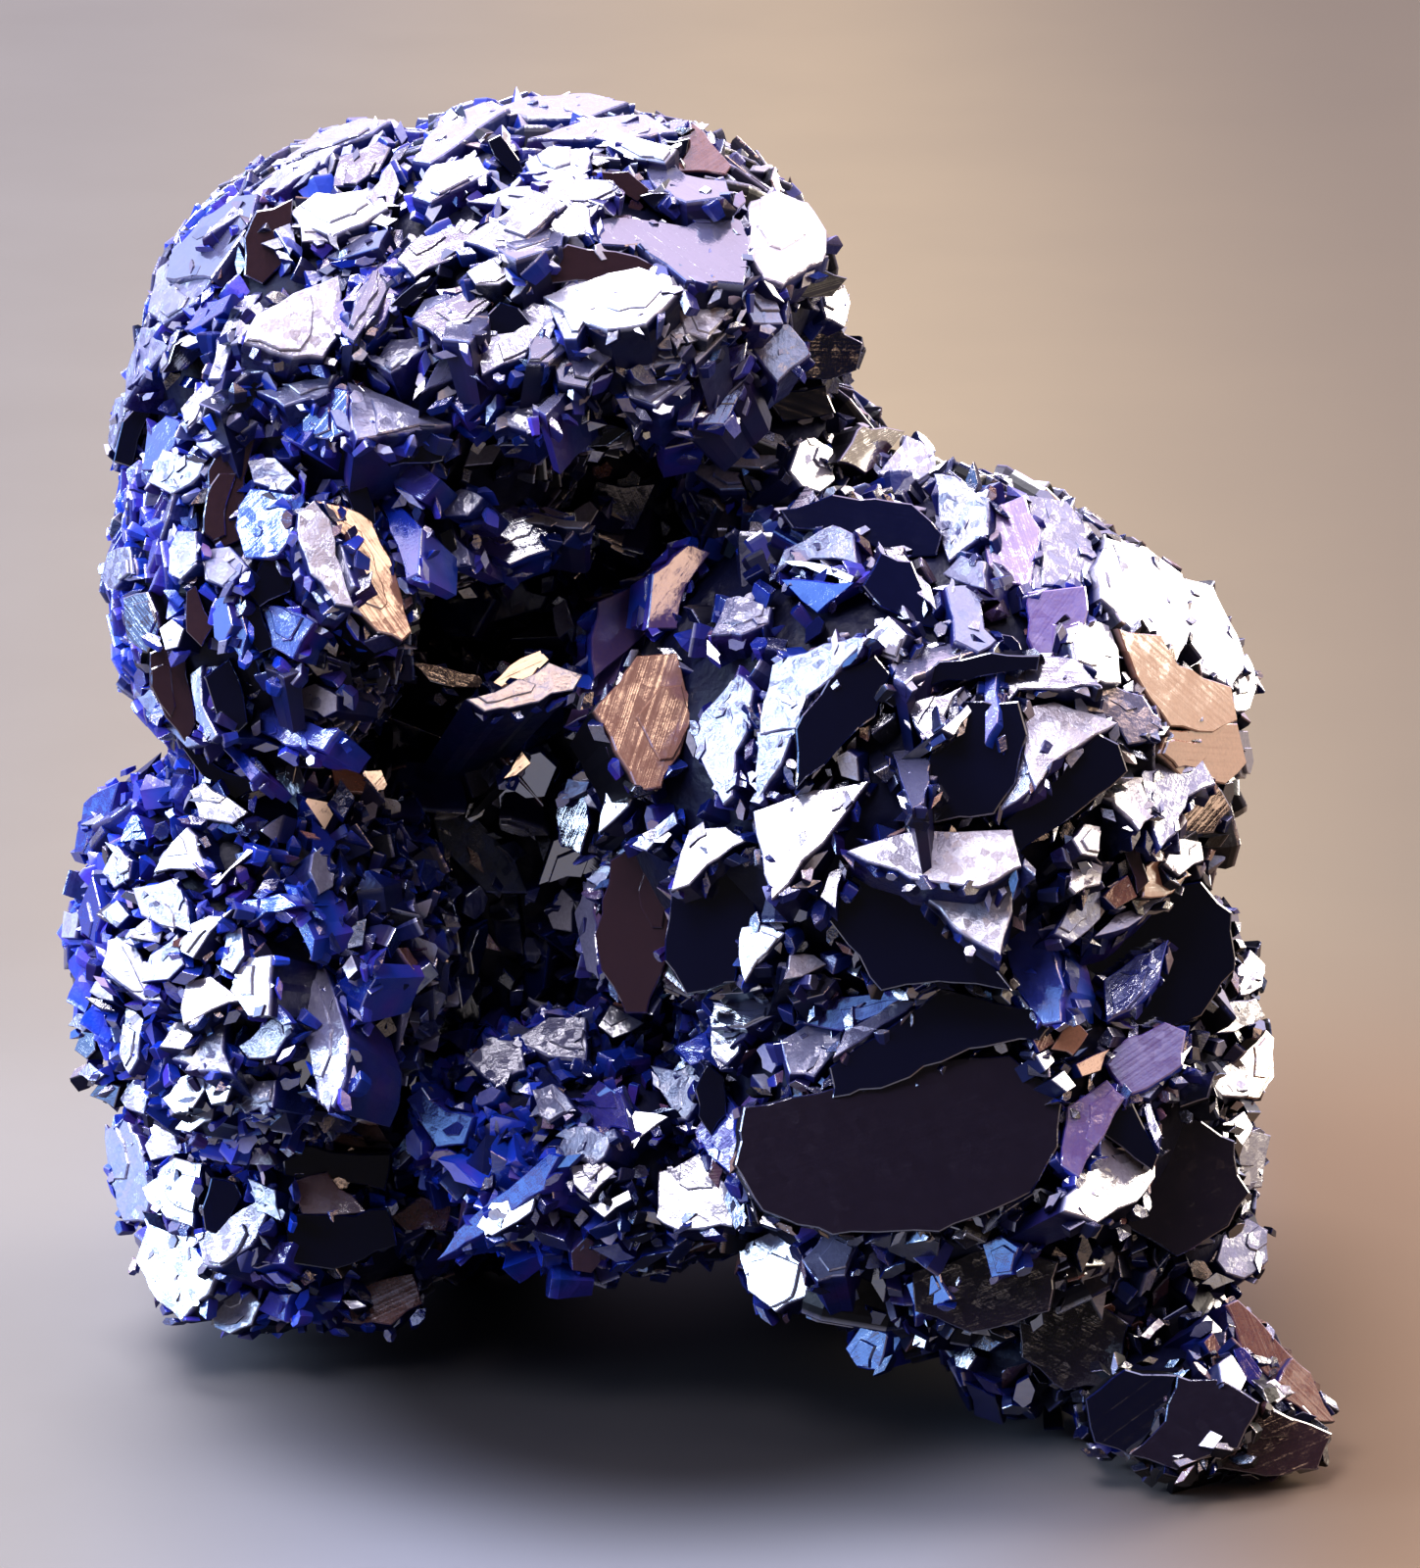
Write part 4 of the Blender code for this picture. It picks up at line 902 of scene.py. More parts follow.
def addPlaced(shape, crystal, layers, rng):
    tone, grain, stain, pale = finishes[crystal["finish"]]
    face = crystal["face"]
    centre = crystal["centre"]
    small = min(crystal["length"], crystal["width"])
    cut = max(crystalCut["least"], min(crystalCut["most"], crystalCut["share"] * small))
    drop = crystalCut["flareDrop"] * small

    def scaled(spots, scale, down, about=None):
        hub = centre if about is None else about
        return [hub + (spot - hub) * scale - face * down for spot in spots]

    # The edge value is a painted highlight, strongest on the ring at the rim of the face.
    def fill(edge, root):
        return {"edge": edge, "tone": tone, "grain": grain, "stain": stain * (1.0 - root),
                "pale": pale * (1.0 - root), "root": root, "runs": crystal["side"]}

    spots = raggedSpots(inPlane(crystal["spots"], face), face, rng)
    rings = [insetSpots(spots, face, cut), scaled(spots, 1.0, cut),
             scaled(spots, crystalCut["flare"], drop),
             scaled(spots, crystalCut["rootScale"], drop + crystal["root"])]
    loft(shape, rings, (fill(0.1, 0.0), fill(0.7, 0.0), fill(0.0, 1.0), fill(0.0, 1.0)), layers)
    if rng.random() > wear["terraced"] or small < wear["terraceFrom"]:
        return
    if crystal["finish"] in wear["plain"]:
        return
    if min((spot - centre).length for spot in spots) < wear["slimmest"] * small:
        return
    hub = centre + (rng.choice(spots) - centre) * wear["hubReach"]
    share = rng.uniform(*wear["terraceShare"])
    rise = rng.uniform(*wear["terraceRise"])
    step = raggedSpots(scaled(inPlane(crystal["spots"], face), share, -rise, hub), face, rng)
    rings = [insetSpots(step, face, cut), [spot - face * cut for spot in step],
             [spot - face * (rise + wear["terraceSink"]) for spot in step]]
    loft(shape, rings, (fill(0.1, 0.0), fill(0.15, 0.0), fill(0.0, 0.6)), layers)


# The number that starts each run of random draws.
seeded = {"placed": 5, "covers": 11, "sorts": 29, "shards": 41, "crumbs": 42}


def newShape():
    shape = bmesh.new()
    labels = ("edge", "tone", "grain", "stain", "pale", "root")
    layers = {label: shape.verts.layers.float.new(label) for label in labels}
    layers["runs"] = shape.verts.layers.float_vector.new("runs")
    return shape, layers


def pieceFrom(name, mesh, material):
    mesh.materials.clear()
    mesh.materials.append(material)
    piece = bpy.data.objects.new(name, mesh)
    bpy.context.scene.collection.objects.link(piece)
    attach(piece, "root")
    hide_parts(node)
    return piece


def settle(shape):
    # From mm on the drawing to metres in the frame.
    bmesh.ops.translate(shape, vec=Vector(show["planShift"]), verts=shape.verts)
    for corner in shape.verts:
        corner.co.z = max(corner.co.z, 0.0)
    bmesh.ops.scale(shape, vec=(mm, mm, mm), verts=shape.verts)


def meshOf(shape, name):
    mesh = bpy.data.meshes.new(name)
    settle(shape)
    bmesh.ops.recalc_face_normals(shape, faces=shape.faces)
    shape.to_mesh(mesh)
    shape.free()
    return mesh


def makePlaced(crystals, material):
    shape, layers = newShape()
    rng = random.Random(seeded["placed"])
    for crystal in crystals:
        addPlaced(shape, crystal, layers, rng)
    print("placed crystals", len(crystals))
    return pieceFrom("broad_crystals", meshOf(shape, "broad_crystals"), material)


def makeCore(material):
    shape, layers = newShape()
    for centre, radii in lobes.values():
        ball = bmesh.ops.create_icosphere(shape, subdivisions=coreBlend["fineness"], radius=1.0)
        sunk = [radius - coreBlend["sunk"] for radius in radii]
        place = Matrix.Translation(centre) @ Matrix.Diagonal((*sunk, 1.0))
        bmesh.ops.transform(shape, matrix=place, verts=ball["verts"])
    for corner in shape.verts:
        corner.co.z = max(corner.co.z, coreBlend["lowest"])
        corner[layers["grain"]] = 1.0
        corner[layers["runs"]] = (0.0, 0.0, 1.0)
    return pieceFrom("lobe_mass", meshOf(shape, "lobe_mass"), material)


# Covers of small crystals: spacing of rows and along a row, length, width and thickness (mm),
# lean off the surface and how much it varies (degrees), how far they stand out (mm), sorts,
# tones, grain, and how close they may come to a placed crystal (mm).
plates = (0, 1, 2, 3, 4, 5, 6, 7, 8, 9, 10, 11, 12, 13)
mixed = (0, 1, 2, 3, 4, 5, 6, 7, 8, 9, 14, 15)
points = (14, 15, 16, 17, 14, 16, 0, 2, 3, 7, 9)
domePole = (-5.0, -8.0, 29.0)
cover = {
    "domeBlades": {
        "lobes": ("crown", "dome", "neck"),
        "pole": domePole, "row": 0.95, "along": 1.30,
        "length": (1.4, 2.9), "width": (0.8, 1.5), "thick": 1.0, "lean": 40, "vary": 9, "turn": 14,
        "rise": (-0.15, 0.25), "sorts": plates, "tone": (0.0, 0.7), "grain": (0.0, 0.9), "near": 0.30,
        # inset is how deep they sink (mm); the last range is their share of painted highlight, a whitish
        # colour standing in for reflected light.
        "inset": 0.35, "pale": (-0.05, 0.42),
    },
    "bowlBlades": {
        "lobes": ("bowl",),
        "pole": domePole, "row": 0.90, "along": 1.25,
        "length": (1.2, 2.4), "width": (0.7, 1.4), "thick": 1.0, "lean": 36, "vary": 14, "turn": 18,
        "rise": (-0.15, 0.25), "sorts": plates, "tone": (0.4, 1.5), "grain": (0.0, 0.8), "near": 0.30,
        "inset": 0.30, "pale": (-0.8, 0.25),
    },
    "domeChips": {
        "lobes": ("crown", "dome", "bowl", "neck"),
        "pole": domePole, "row": 0.75, "along": 0.85,
        "length": (0.5, 1.2), "width": (0.3, 0.8), "thick": 0.7, "lean": 36, "vary": 22, "turn": 30,
        "rise": (0.0, 0.35), "sorts": mixed, "tone": (0.2, 1.4), "grain": (0.0, 0.9), "near": 0.0,
        "inset": 0.35, "pale": (-0.3, 0.35),
    },
    "rightBlades": {
        "lobes": ("shoulder", "belly", "hip"),
        "pole": (4.0, -16.0, 14.0), "row": 2.0, "along": 2.0,
        "length": (1.8, 3.6), "width": (1.2, 2.4), "thick": 1.8, "lean": 16, "vary": 22, "turn": 35,
        "rise": (-0.2, 0.45), "sorts": plates, "tone": (0.0, 0.5), "grain": (0.0, 0.4), "near": 0.5,
    },
    "rightChips": {
        "lobes": ("shoulder", "belly", "hip"),
        "pole": (4.0, -16.0, 14.0), "row": 0.9, "along": 0.9,
        "length": (0.6, 1.4), "width": (0.5, 1.0), "thick": 1.0, "lean": 12, "vary": 28, "turn": 60,
        "rise": (-0.1, 0.35), "sorts": mixed, "tone": (0.1, 0.9), "grain": (0.0, 0.7), "near": 0.05,
    },
    "drusePoints": {
        "lobes": ("druse", "foot", "knot"),
        "pole": (-8.0, -14.0, 12.0), "row": 1.0, "along": 1.0,
        "length": (0.9, 2.1), "width": (0.7, 1.5), "thick": 1.3, "lean": 10, "vary": 26, "turn": 70,
        "rise": (-0.1, 0.55), "sorts": points, "tone": (0.3, 1.6), "grain": (0.0, 0.6), "near": 0.3,
    },
    "druseChips": {
        "lobes": ("druse", "foot", "knot"),
        "pole": (-8.0, -14.0, 12.0), "row": 0.66, "along": 0.66,
        "length": (0.4, 0.9), "width": (0.35, 0.7), "thick": 0.8, "lean": 8, "vary": 32, "turn": 80,
        "rise": (-0.1, 0.3), "sorts": points, "tone": (0.4, 1.7), "grain": (0.0, 0.7), "near": 0.05,
    },
    "footBlades": {
        "lobes": ("heel", "tail"),
        "pole": (14.0, -20.0, -6.0), "row": 1.1, "along": 1.1,
        "length": (0.9, 2.2), "width": (0.7, 1.5), "thick": 1.3, "lean": 12, "vary": 22, "turn": 40,
        "rise": (-0.2, 0.3), "sorts": mixed, "tone": (0.0, 0.5), "grain": (0.0, 0.4), "near": 0.2,
    },
    "backBlades": {
        "lobes": ("backTop", "backLeft", "backRight", "middle"),
        "pole": (0.0, 30.0, 20.0), "row": 1.8, "along": 1.8,
        "length": (1.8, 4.9), "width": (1.3, 3.0), "thick": 1.6, "lean": 14, "vary": 30, "turn": 40,
        "rise": (-0.35, 0.85), "sorts": plates, "tone": (0.0, 0.7), "grain": (0.0, 0.4), "near": 0.5,
    },
    "backChips": {
        "lobes": ("backTop", "backLeft", "backRight", "middle"),
        "pole": (0.0, 30.0, 20.0), "row": 1.0, "along": 1.0,
        "length": (0.6, 1.4), "width": (0.5, 1.0), "thick": 1.0, "lean": 12, "vary": 28, "turn": 60,
        "rise": (0.0, 0.35), "sorts": mixed, "tone": (0.1, 0.9), "grain": (0.0, 0.7), "near": 0.1,
    },
}
# What all covers share: mm for the first three, and shares, ranges and limits after them.
shared = {
    "lowest": 0.25, "under": -1.4, "over": 3.5, "buriedAt": 0.93,
    "shift": 0.22, "wander": 0.18, "shownLeast": 0.35, "rock": 0.8,
    # Painted light: covers on faces turned to the left are bluer, standing in for the blue lamp on that
    # side.
    "leftLitMiddle": 0.55, "leftLitFall": 0.6, "leftLitLeast": 0.3,      # bluer to the left
    # Random tan (partly a real stain, partly a painted warm glint) and a whitish painted highlight on a
    # few covers.
    "stain": (-6.0, 0.5), "stainAndWarmGlintAdd": 0.2, "pale": (-3.0, 0.5),
    "least": 0.85, "most": 1.15,
}


def lobeDirections(pole, row, along, radius, rng):
    # Rows round a pole: directions from the lobe's middle, a row's spacing apart.
    axis = pole.normalized()
    first = axis.orthogonal().normalized()
    second = axis.cross(first)
    rows = max(2, int(math.pi * radius / row))
    for rank in range(rows):
        polar = math.pi * (rank + 0.5) / rows
        count = max(1, int(2.0 * math.pi * radius * math.sin(polar) / along))
        shift = rng.random()
        for index in range(count):
            wander = rng.uniform(-shared["shift"], shared["shift"])
            angle = 2.0 * math.pi * (index + shift + wander) / count
            tilt = polar + rng.uniform(-shared["wander"], shared["wander"]) * row / radius
            yield (axis * math.cos(tilt)
                   + (first * math.cos(angle) + second * math.sin(angle)) * math.sin(tilt))


def coversFace(point, reach, crystals):
    # Whether something this big would lie over a placed crystal.
    for crystal in crystals:
        away = point - crystal["centre"]
        height = away.dot(crystal["face"])
        if not shared["under"] < height < shared["over"]:
            continue
        runX = abs(away.dot(crystal["along"])) / (crystal["length"] * 0.5 + reach)
        runY = abs(away.dot(crystal["side"])) / (crystal["width"] * 0.5 + reach)
        if math.hypot(runX, runY) < 1.0:
            return True
    return False


def buried(point, own):
    return any(lobe != own and lobeShare(point, lobe) < shared["buriedAt"] for lobe in lobes)


def coverPoints(rule, crystals, seed):
    rng = random.Random(seed)
    points = []
    for lobe in rule["lobes"]:
        centre, radii = lobes[lobe]
        toPole = Vector(rule["pole"]) - Vector(centre)
        radius = sum(radii) / 3.0
        for direction in lobeDirections(toPole, rule["row"], rule["along"], radius, rng):
            point = Vector([centre[axis] + radii[axis] * direction[axis] for axis in range(3)])
            length = rng.uniform(*rule["length"])
            width = rng.uniform(*rule["width"])
            outward = lobeNormal(point, lobe)
            shown = shared["shownLeast"] + (1.0 - shared["shownLeast"]) * max(0.0, outward.dot(toward))
            lean = math.radians(rule["lean"] * shown + rng.gauss(0.0, rule["vary"]))
            twist = math.radians(rng.gauss(0.0, rule["turn"]))
            rock = math.radians(rng.gauss(0.0, rule["vary"] * shared["rock"]))
            rise = rng.uniform(*rule["rise"])
            kind = rng.choice(rule["sorts"])
            # Painted light: faces turned to the left get a bluer tone, as if lit by the blue lamp there.
            leftLitShare = shared["leftLitMiddle"] - shared["leftLitFall"] * outward.x
            tone = rng.uniform(*rule["tone"]) * min(1.0, max(shared["leftLitLeast"], leftLitShare))
            grain = rng.uniform(*rule["grain"])
            stain = max(0.0, rng.uniform(*shared["stain"]) + shared["stainAndWarmGlintAdd"])
            pale = max(0.0, rng.uniform(*rule.get("pale", shared["pale"])))
            if point.z < shared["lowest"] or buried(point, lobe):
                continue
            if coversFace(point, rule["near"], crystals):
                continue
            poleward = Vector(rule["pole"]) - point
            poleward = (poleward - outward * poleward.dot(outward)).normalized()
            along = outward.cross(poleward).normalized()
            turned = Matrix.Rotation(twist, 3, outward)
            along = turned @ along
            poleward = turned @ poleward
            face = outward * math.cos(lean) - poleward * math.sin(lean)
            face = Matrix.Rotation(rock, 3, poleward) @ face
            along = (along - face * along.dot(face)).normalized()
            place = point + outward * (rise - rule.get("inset", 0.0))
            points.append((place, face, along, (length, width, rule["thick"]),
                           kind, tone, grain, stain, pale))
    return points


def tilted(face, along, most, rng):
    # A direction up to so many degrees off, and a run square to it.
    face = Matrix.Rotation(math.radians(rng.uniform(-most, most)), 3, along) @ face
    face = Matrix.Rotation(math.radians(rng.uniform(-most, most)), 3, along.cross(face)) @ face
    along = Matrix.Rotation(math.radians(rng.uniform(-shards["spin"], shards["spin"])), 3, face) @ along
    return face, (along - face * along.dot(face)).normalized()


# Small crystals along the edges of the larger ones, and on top of the rough faces.
shards = {"spin": 60.0, "leanMost": 0.7, "toneShare": 0.5, "toneMost": 0.55, "leftLitFall": 0.03,
          "grain": (0.0, 0.8), "stain": (-3.0, 0.6), "pale": (-0.8, 0.4), "paintedPaleHighlightRise": 0.025,
          "paintedPaleHighlightFrom": 24.0,
          "step": 0.60, "length": (0.40, 1.15), "width": (0.25, 0.60), "thick": 0.6, "tilt": 40,
          "below": (0.02, 0.55), "outward": (-0.10, 0.35), "keepUnder": 0.30,
          "dark": ("black", "charcoal", "rust", "navy")}
crumbs = {"each": 0.85, "length": (0.30, 1.05), "width": (0.20, 0.60), "thick": 0.35, "tilt": 15,
          "rise": (-0.05, 0.07), "from": 0.8, "stainAndWarmGlintShare": (0.3, 1.6), "paintedPaleHighlightShare": (0.3, 1.1),
          "finishes": ("cream", "grain", "white", "frost", "clear", "steel", "violet")}


def shardPoints(crystals, seed):
    rng = random.Random(seed)
    points = []
    for crystal in crystals:
        tone = finishes[crystal["finish"]][0]
        dark = crystal["finish"] in shards["dark"]
        spots = inPlane(crystal["spots"], crystal["face"])
        for spot, after in zip(spots, spots[1:] + spots[:1]):
            side = after - spot
            count = max(1, round(side.length / shards["step"]))
            outward = side.normalized().cross(crystal["face"])
            for index in range(count):
                share = (index + rng.random()) / count
                below = rng.uniform(*shards["below"]) + (shards["keepUnder"] if dark else 0.0)
                place = (spot + side * share + outward * rng.uniform(*shards["outward"])
                         - crystal["face"] * below)
                lean = (crystal["face"] + outward * rng.uniform(0.0, shards["leanMost"])).normalized()
                run = (side - lean * side.dot(lean)).normalized()
                face, along = tilted(lean, run, shards["tilt"], rng)
                size = (rng.uniform(*shards["length"]), rng.uniform(*shards["width"]), shards["thick"])
                sort = rng.choice(mixed)
                # Painted light: shards further left get a bluer tone, as if lit by the blue lamp there.
                most = shards["toneMost"] - shards["leftLitFall"] * place.x
                shade = tone * shards["toneShare"] + rng.uniform(0.0, most)
                grain = rng.uniform(*shards["grain"])
                stain = max(0.0, rng.uniform(*shards["stain"]))
                # Painted highlight: shards higher up get more of it, as if lit from overhead.
                lift = shards["paintedPaleHighlightRise"] * (place.z - shards["paintedPaleHighlightFrom"])
                pale = max(0.0, rng.uniform(*shards["pale"]) + lift)
                points.append((place, face, along, size, sort, shade, grain, stain, pale))
    return points


def crumbPoints(crystals, seed):
    rng = random.Random(seed)
    points = []
    for crystal in crystals:
        if crystal["finish"] not in crumbs["finishes"]:
            continue
        if min(crystal["length"], crystal["width"]) < crumbs["from"]:
            continue
        tone, grain, stain, pale = finishes[crystal["finish"]]
        spots = crystal["spots"]
        for spot, after in zip(spots, spots[1:] + spots[:1]):
            area = (spot - crystal["centre"]).cross(after - crystal["centre"]).length * 0.5
            for _ in range(int(area / crumbs["each"] * (1.0 + grain) + rng.random())):
                first, second = sorted((rng.random(), rng.random()))
                place = (crystal["centre"] * first + spot * (second - first) + after * (1.0 - second)
                         + crystal["face"] * rng.uniform(*crumbs["rise"]))
                face, along = tilted(crystal["face"], crystal["along"], crumbs["tilt"], rng)
                size = (rng.uniform(*crumbs["length"]), rng.uniform(*crumbs["width"]), crumbs["thick"])
                # Crumbs take the face's tan (stain and painted warm glint) and its whitish painted
                # highlight, each scaled at random.
                points.append((place, face, along, size, rng.choice(mixed), tone, grain,
                               stain * rng.uniform(*crumbs["stainAndWarmGlintShare"]),
                               pale * rng.uniform(*crumbs["paintedPaleHighlightShare"])))
    return points


def guideMesh(name, points):
    mesh = bpy.data.meshes.new(name)
    shift = Vector(show["planShift"])
    mesh.from_pydata([tuple((row[0] + shift) * mm) for row in points], [], [])
    columns = (("facing", "FLOAT_VECTOR", 1), ("runs", "FLOAT_VECTOR", 2),
               ("size", "FLOAT_VECTOR", 3), ("kind", "INT", 4), ("tone", "FLOAT", 5),
               ("grain", "FLOAT", 6), ("stain", "FLOAT", 7), ("pale", "FLOAT", 8))
    for label, kind, column in columns:
        layer = mesh.attributes.new(label, kind, "POINT")
        for item, row in zip(layer.data, points):
            if kind == "FLOAT_VECTOR":
                item.vector = row[column]
            else:
                item.value = row[column]
    return mesh


# how many small crystals of each sort there are to choose from
seedCounts = {"plate": 6, "blade": 4, "stepped": 4, "point": 4}


def unevenOutline(rng, sort, number):
    # A crystal face on a half length and half width of 1: uneven, longer than wide.
    if sort == "blade":
        turns = (rng.uniform(-0.03, 0.03), rng.uniform(0.12, 0.26), rng.uniform(0.44, 0.56),
                 rng.uniform(0.70, 0.88))
        reach = (1.0, rng.uniform(0.55, 0.95), 1.0, rng.uniform(0.55, 0.95))
    else:
        count = 3 + number % 2 if sort == "point" else 4 + number % 3
        turns = [(index + rng.uniform(-0.36, 0.36)) / count for index in range(count)]
        reach = [rng.uniform(0.70, 1.0) for index in range(count)]
    spots = [Vector((0.5 * math.cos(2.0 * math.pi * turn) * far,
                     0.5 * math.sin(2.0 * math.pi * turn) * far, 0.0))
             for turn, far in zip(turns, reach)]
    if sort != "point" and number % 2:
        middleSpot = (spots[0] + spots[1]) * 0.5
        spots.insert(1, middleSpot * 0.74)     # a notch
    return spots


def addSeed(shape, layers, spots, rings):
    # Each ring: scale, shift along, height, edge value (a painted highlight along the rim) and root
    # values.
    bodies = [[Vector((spot.x * scale + shift, spot.y * scale, height)) for spot in spots]
              for scale, shift, height, *_ in rings]
    loft(shape, bodies, [{"edge": ring[3], "root": ring[4]} for ring in rings], layers)


def makeSeeds():
    # Small crystals of length, width and depth 1, for the trees to repeat.
    group = bpy.data.collections.new("seeds")
    rng = random.Random(seeded["sorts"])
    rank = 0
    for sort, count in seedCounts.items():
        for number in range(count):
            shape = bmesh.new()
            layers = {"edge": shape.verts.layers.float.new("edge"),
                      "root": shape.verts.layers.float.new("root")}
            spots = unevenOutline(rng, sort, number)
            if sort == "point":
                tip = rng.uniform(-0.28, 0.28)
                rings = ((0.12, tip, 0.0, 0.8, 0.0), (1.0, 0.1 * tip, -0.42, 0.1, 0.3),
                         (0.9, 0.0, -1.0, 0.0, 1.0))
                addSeed(shape, layers, spots, rings)
            else:
                rings = ((0.965, 0.0, 0.0, 0.1, 0.0), (1.0, 0.0, -0.02, 0.7, 0.0),
                         (1.03, 0.0, -0.22, 0.0, 1.0), (0.72, 0.0, -1.0, 0.0, 1.0))
                addSeed(shape, layers, spots, rings)
                if sort == "stepped":
                    rings = ((0.52, 0.12, 0.09, 0.1, 0.0), (0.56, 0.12, 0.075, 0.7, 0.0),
                             (0.56, 0.12, -0.05, 0.0, 0.6))
                    addSeed(shape, layers, spots, rings)
            mesh = bpy.data.meshes.new("seed_" + sort)
            shape.to_mesh(mesh)
            shape.free()
            group.objects.link(bpy.data.objects.new("seed%02d_%s" % (rank, sort), mesh))
            rank += 1
    print("small crystals to repeat", rank)
    return group


def growTree(seeds, material):
    # Puts a small crystal on every guide point, turned and sized by the point's attributes.
    tree = bpy.data.node_groups.new("crystalGrowth", "GeometryNodeTree")
    ask = tree.interface.new_socket
    ask("Geometry", in_out="INPUT", socket_type="NodeSocketGeometry")
    growth = ask("Growth", in_out="INPUT", socket_type="NodeSocketFloat")
    seed = ask("Seed", in_out="INPUT", socket_type="NodeSocketInt")
    ask("Geometry", in_out="OUTPUT", socket_type="NodeSocketGeometry")
    nodes, links = tree.nodes, tree.links

    def add(kind, **settings):
        made = nodes.new(kind)
        for key, value in settings.items():
            setattr(made, key, value)
        return made

    def named(label, kind):
        made = add("GeometryNodeInputNamedAttribute", data_type=kind)
        made.inputs["Name"].default_value = label
        return made.outputs["Attribute"]

    start = add("NodeGroupInput")
    end = add("NodeGroupOutput")
    pick = add("GeometryNodeCollectionInfo")
    pick.inputs["Collection"].default_value = seeds
    pick.inputs["Separate Children"].default_value = True
    pick.inputs["Reset Children"].default_value = True
    turn = add("FunctionNodeAxesToRotation", primary_axis="Z", secondary_axis="X")
    links.new(named("facing", "FLOAT_VECTOR"), turn.inputs[0])
    links.new(named("runs", "FLOAT_VECTOR"), turn.inputs[1])
    chance = add("FunctionNodeRandomValue", data_type="FLOAT")
    chance.inputs[2].default_value = shared["least"]
    chance.inputs[3].default_value = shared["most"]
    links.new(start.outputs["Seed"], chance.inputs["Seed"])
    grown = add("ShaderNodeMath", operation="MULTIPLY")
    links.new(chance.outputs[1], grown.inputs[0])
    links.new(start.outputs["Growth"], grown.inputs[1])
    size = add("ShaderNodeVectorMath", operation="SCALE")
    links.new(named("size", "FLOAT_VECTOR"), size.inputs[0])
    links.new(grown.outputs[0], size.inputs["Scale"])
    points = add("GeometryNodeMeshToPoints")
    place = add("GeometryNodeInstanceOnPoints")
    place.inputs["Pick Instance"].default_value = True
    links.new(start.outputs["Geometry"], points.inputs["Mesh"])
    links.new(points.outputs["Points"], place.inputs["Points"])
    links.new(pick.outputs[0], place.inputs["Instance"])
    links.new(named("kind", "INT"), place.inputs["Instance Index"])
    links.new(turn.outputs[0], place.inputs["Rotation"])
    links.new(size.outputs[0], place.inputs["Scale"])
    real = add("GeometryNodeRealizeInstances")
    paint = add("GeometryNodeSetMaterial")
    paint.inputs["Material"].default_value = material
    links.new(place.outputs[0], real.inputs[0])
    links.new(real.outputs[0], paint.inputs["Geometry"])
    links.new(paint.outputs[0], end.inputs[0])
    return tree, growth.identifier, seed.identifier


def makeCover(name, points, tree, material, seed):
    tree, growthInput, seedInput = tree
    guide = bpy.data.objects.new(name + "_guide", guideMesh(name + "_guide", points))
    bpy.context.scene.collection.objects.link(guide)
    modifier = guide.modifiers.new("growth", "NODES")
    modifier.node_group = tree
    modifier[growthInput] = mm
    modifier[seedInput] = seed
    graph = bpy.context.evaluated_depsgraph_get()
    mesh = bpy.data.meshes.new_from_object(guide.evaluated_get(graph))
    guide.modifiers.clear()
    bpy.data.objects.remove(guide)
    for corner in mesh.vertices:
        corner.co.z = max(corner.co.z, 0.0)
    for label in ("facing", "size", "kind"):
        if label in mesh.attributes:
            mesh.attributes.remove(mesh.attributes[label])
    print(name, len(points), "crystals", len(mesh.polygons), "faces")
    return pieceFrom(name, mesh, material)


studio = {
    "halfWidth": 900.0,
    "paintedShadowSpan": (9.0, 19.0), "beyondSpan": (32.0, 70.0), "middleBack": -2.0,    # mm
    "nearLeftSpan": (-24.0, -6.0), "nearRightSpan": (5.0, 23.0),
    "farLeftSpan": (-40.0, 10.0), "farRightSpan": (0.0, 40.0),
    "mottle": (0.050, 0.042, 0.032, 1.0), "mottleShare": 0.25, "mottleScale": 70.0,
    "floorRough": 0.9, "floorSpecular": 0.06,
    # Painted shadow: round the specimen's foot the floor turns near black.
    "under": (0.009, 0.009, 0.011, 1.0),
    # Painted light on the floor: cooler near the specimen and in front, warmer far behind, grey on the
    # left and brown on the right, as the cool left lamp and warm right lamp would colour it.
    "near": (0.120, 0.126, 0.142, 1.0),
    "nearLeft": (0.117, 0.112, 0.100, 1.0),
    "nearRight": (0.090, 0.060, 0.036, 1.0),
    "far": (0.132, 0.105, 0.063, 1.0),
    "farLeft": (0.096, 0.090, 0.078, 1.0),
    "farRight": (0.067, 0.054, 0.038, 1.0),
    "turnFrom": 12.0, "turnOver": 40.0,     # where the ground turns to its far tone, mm
    "ceiling": (0.50, 0.60, 1.0, 1.0), "ceilingLight": 3.2,
    "ceilingWarm": (0.86, 0.68, 0.92, 1.0),
    "leftWall": (0.20, 0.42, 1.0, 1.0), "leftLight": 3.2,
    "rightWall": (1.0, 0.80, 0.60, 1.0), "rightLight": 1.6,
    "gloom": (0.5, 0.45, 0.46, 1.0), "gloomLight": 0.032,
    "patches": 2.2, "patchDepth": 1.6,      # how uneven the ceiling is
    # Each glow: its direction, and the cosines where it starts and is full.
    "rightGlow": ((0.9, 0.45, 0.2), 0.60, 0.78),
    "leftGlow": ((-0.95, 0.15, 0.2), 0.42, 0.80),
    "ceilingGlow": ((-0.1, 0.5, 0.87), 0.16, 0.72),
    "aimUp": 22.0,                          # where the lights point, mm
}
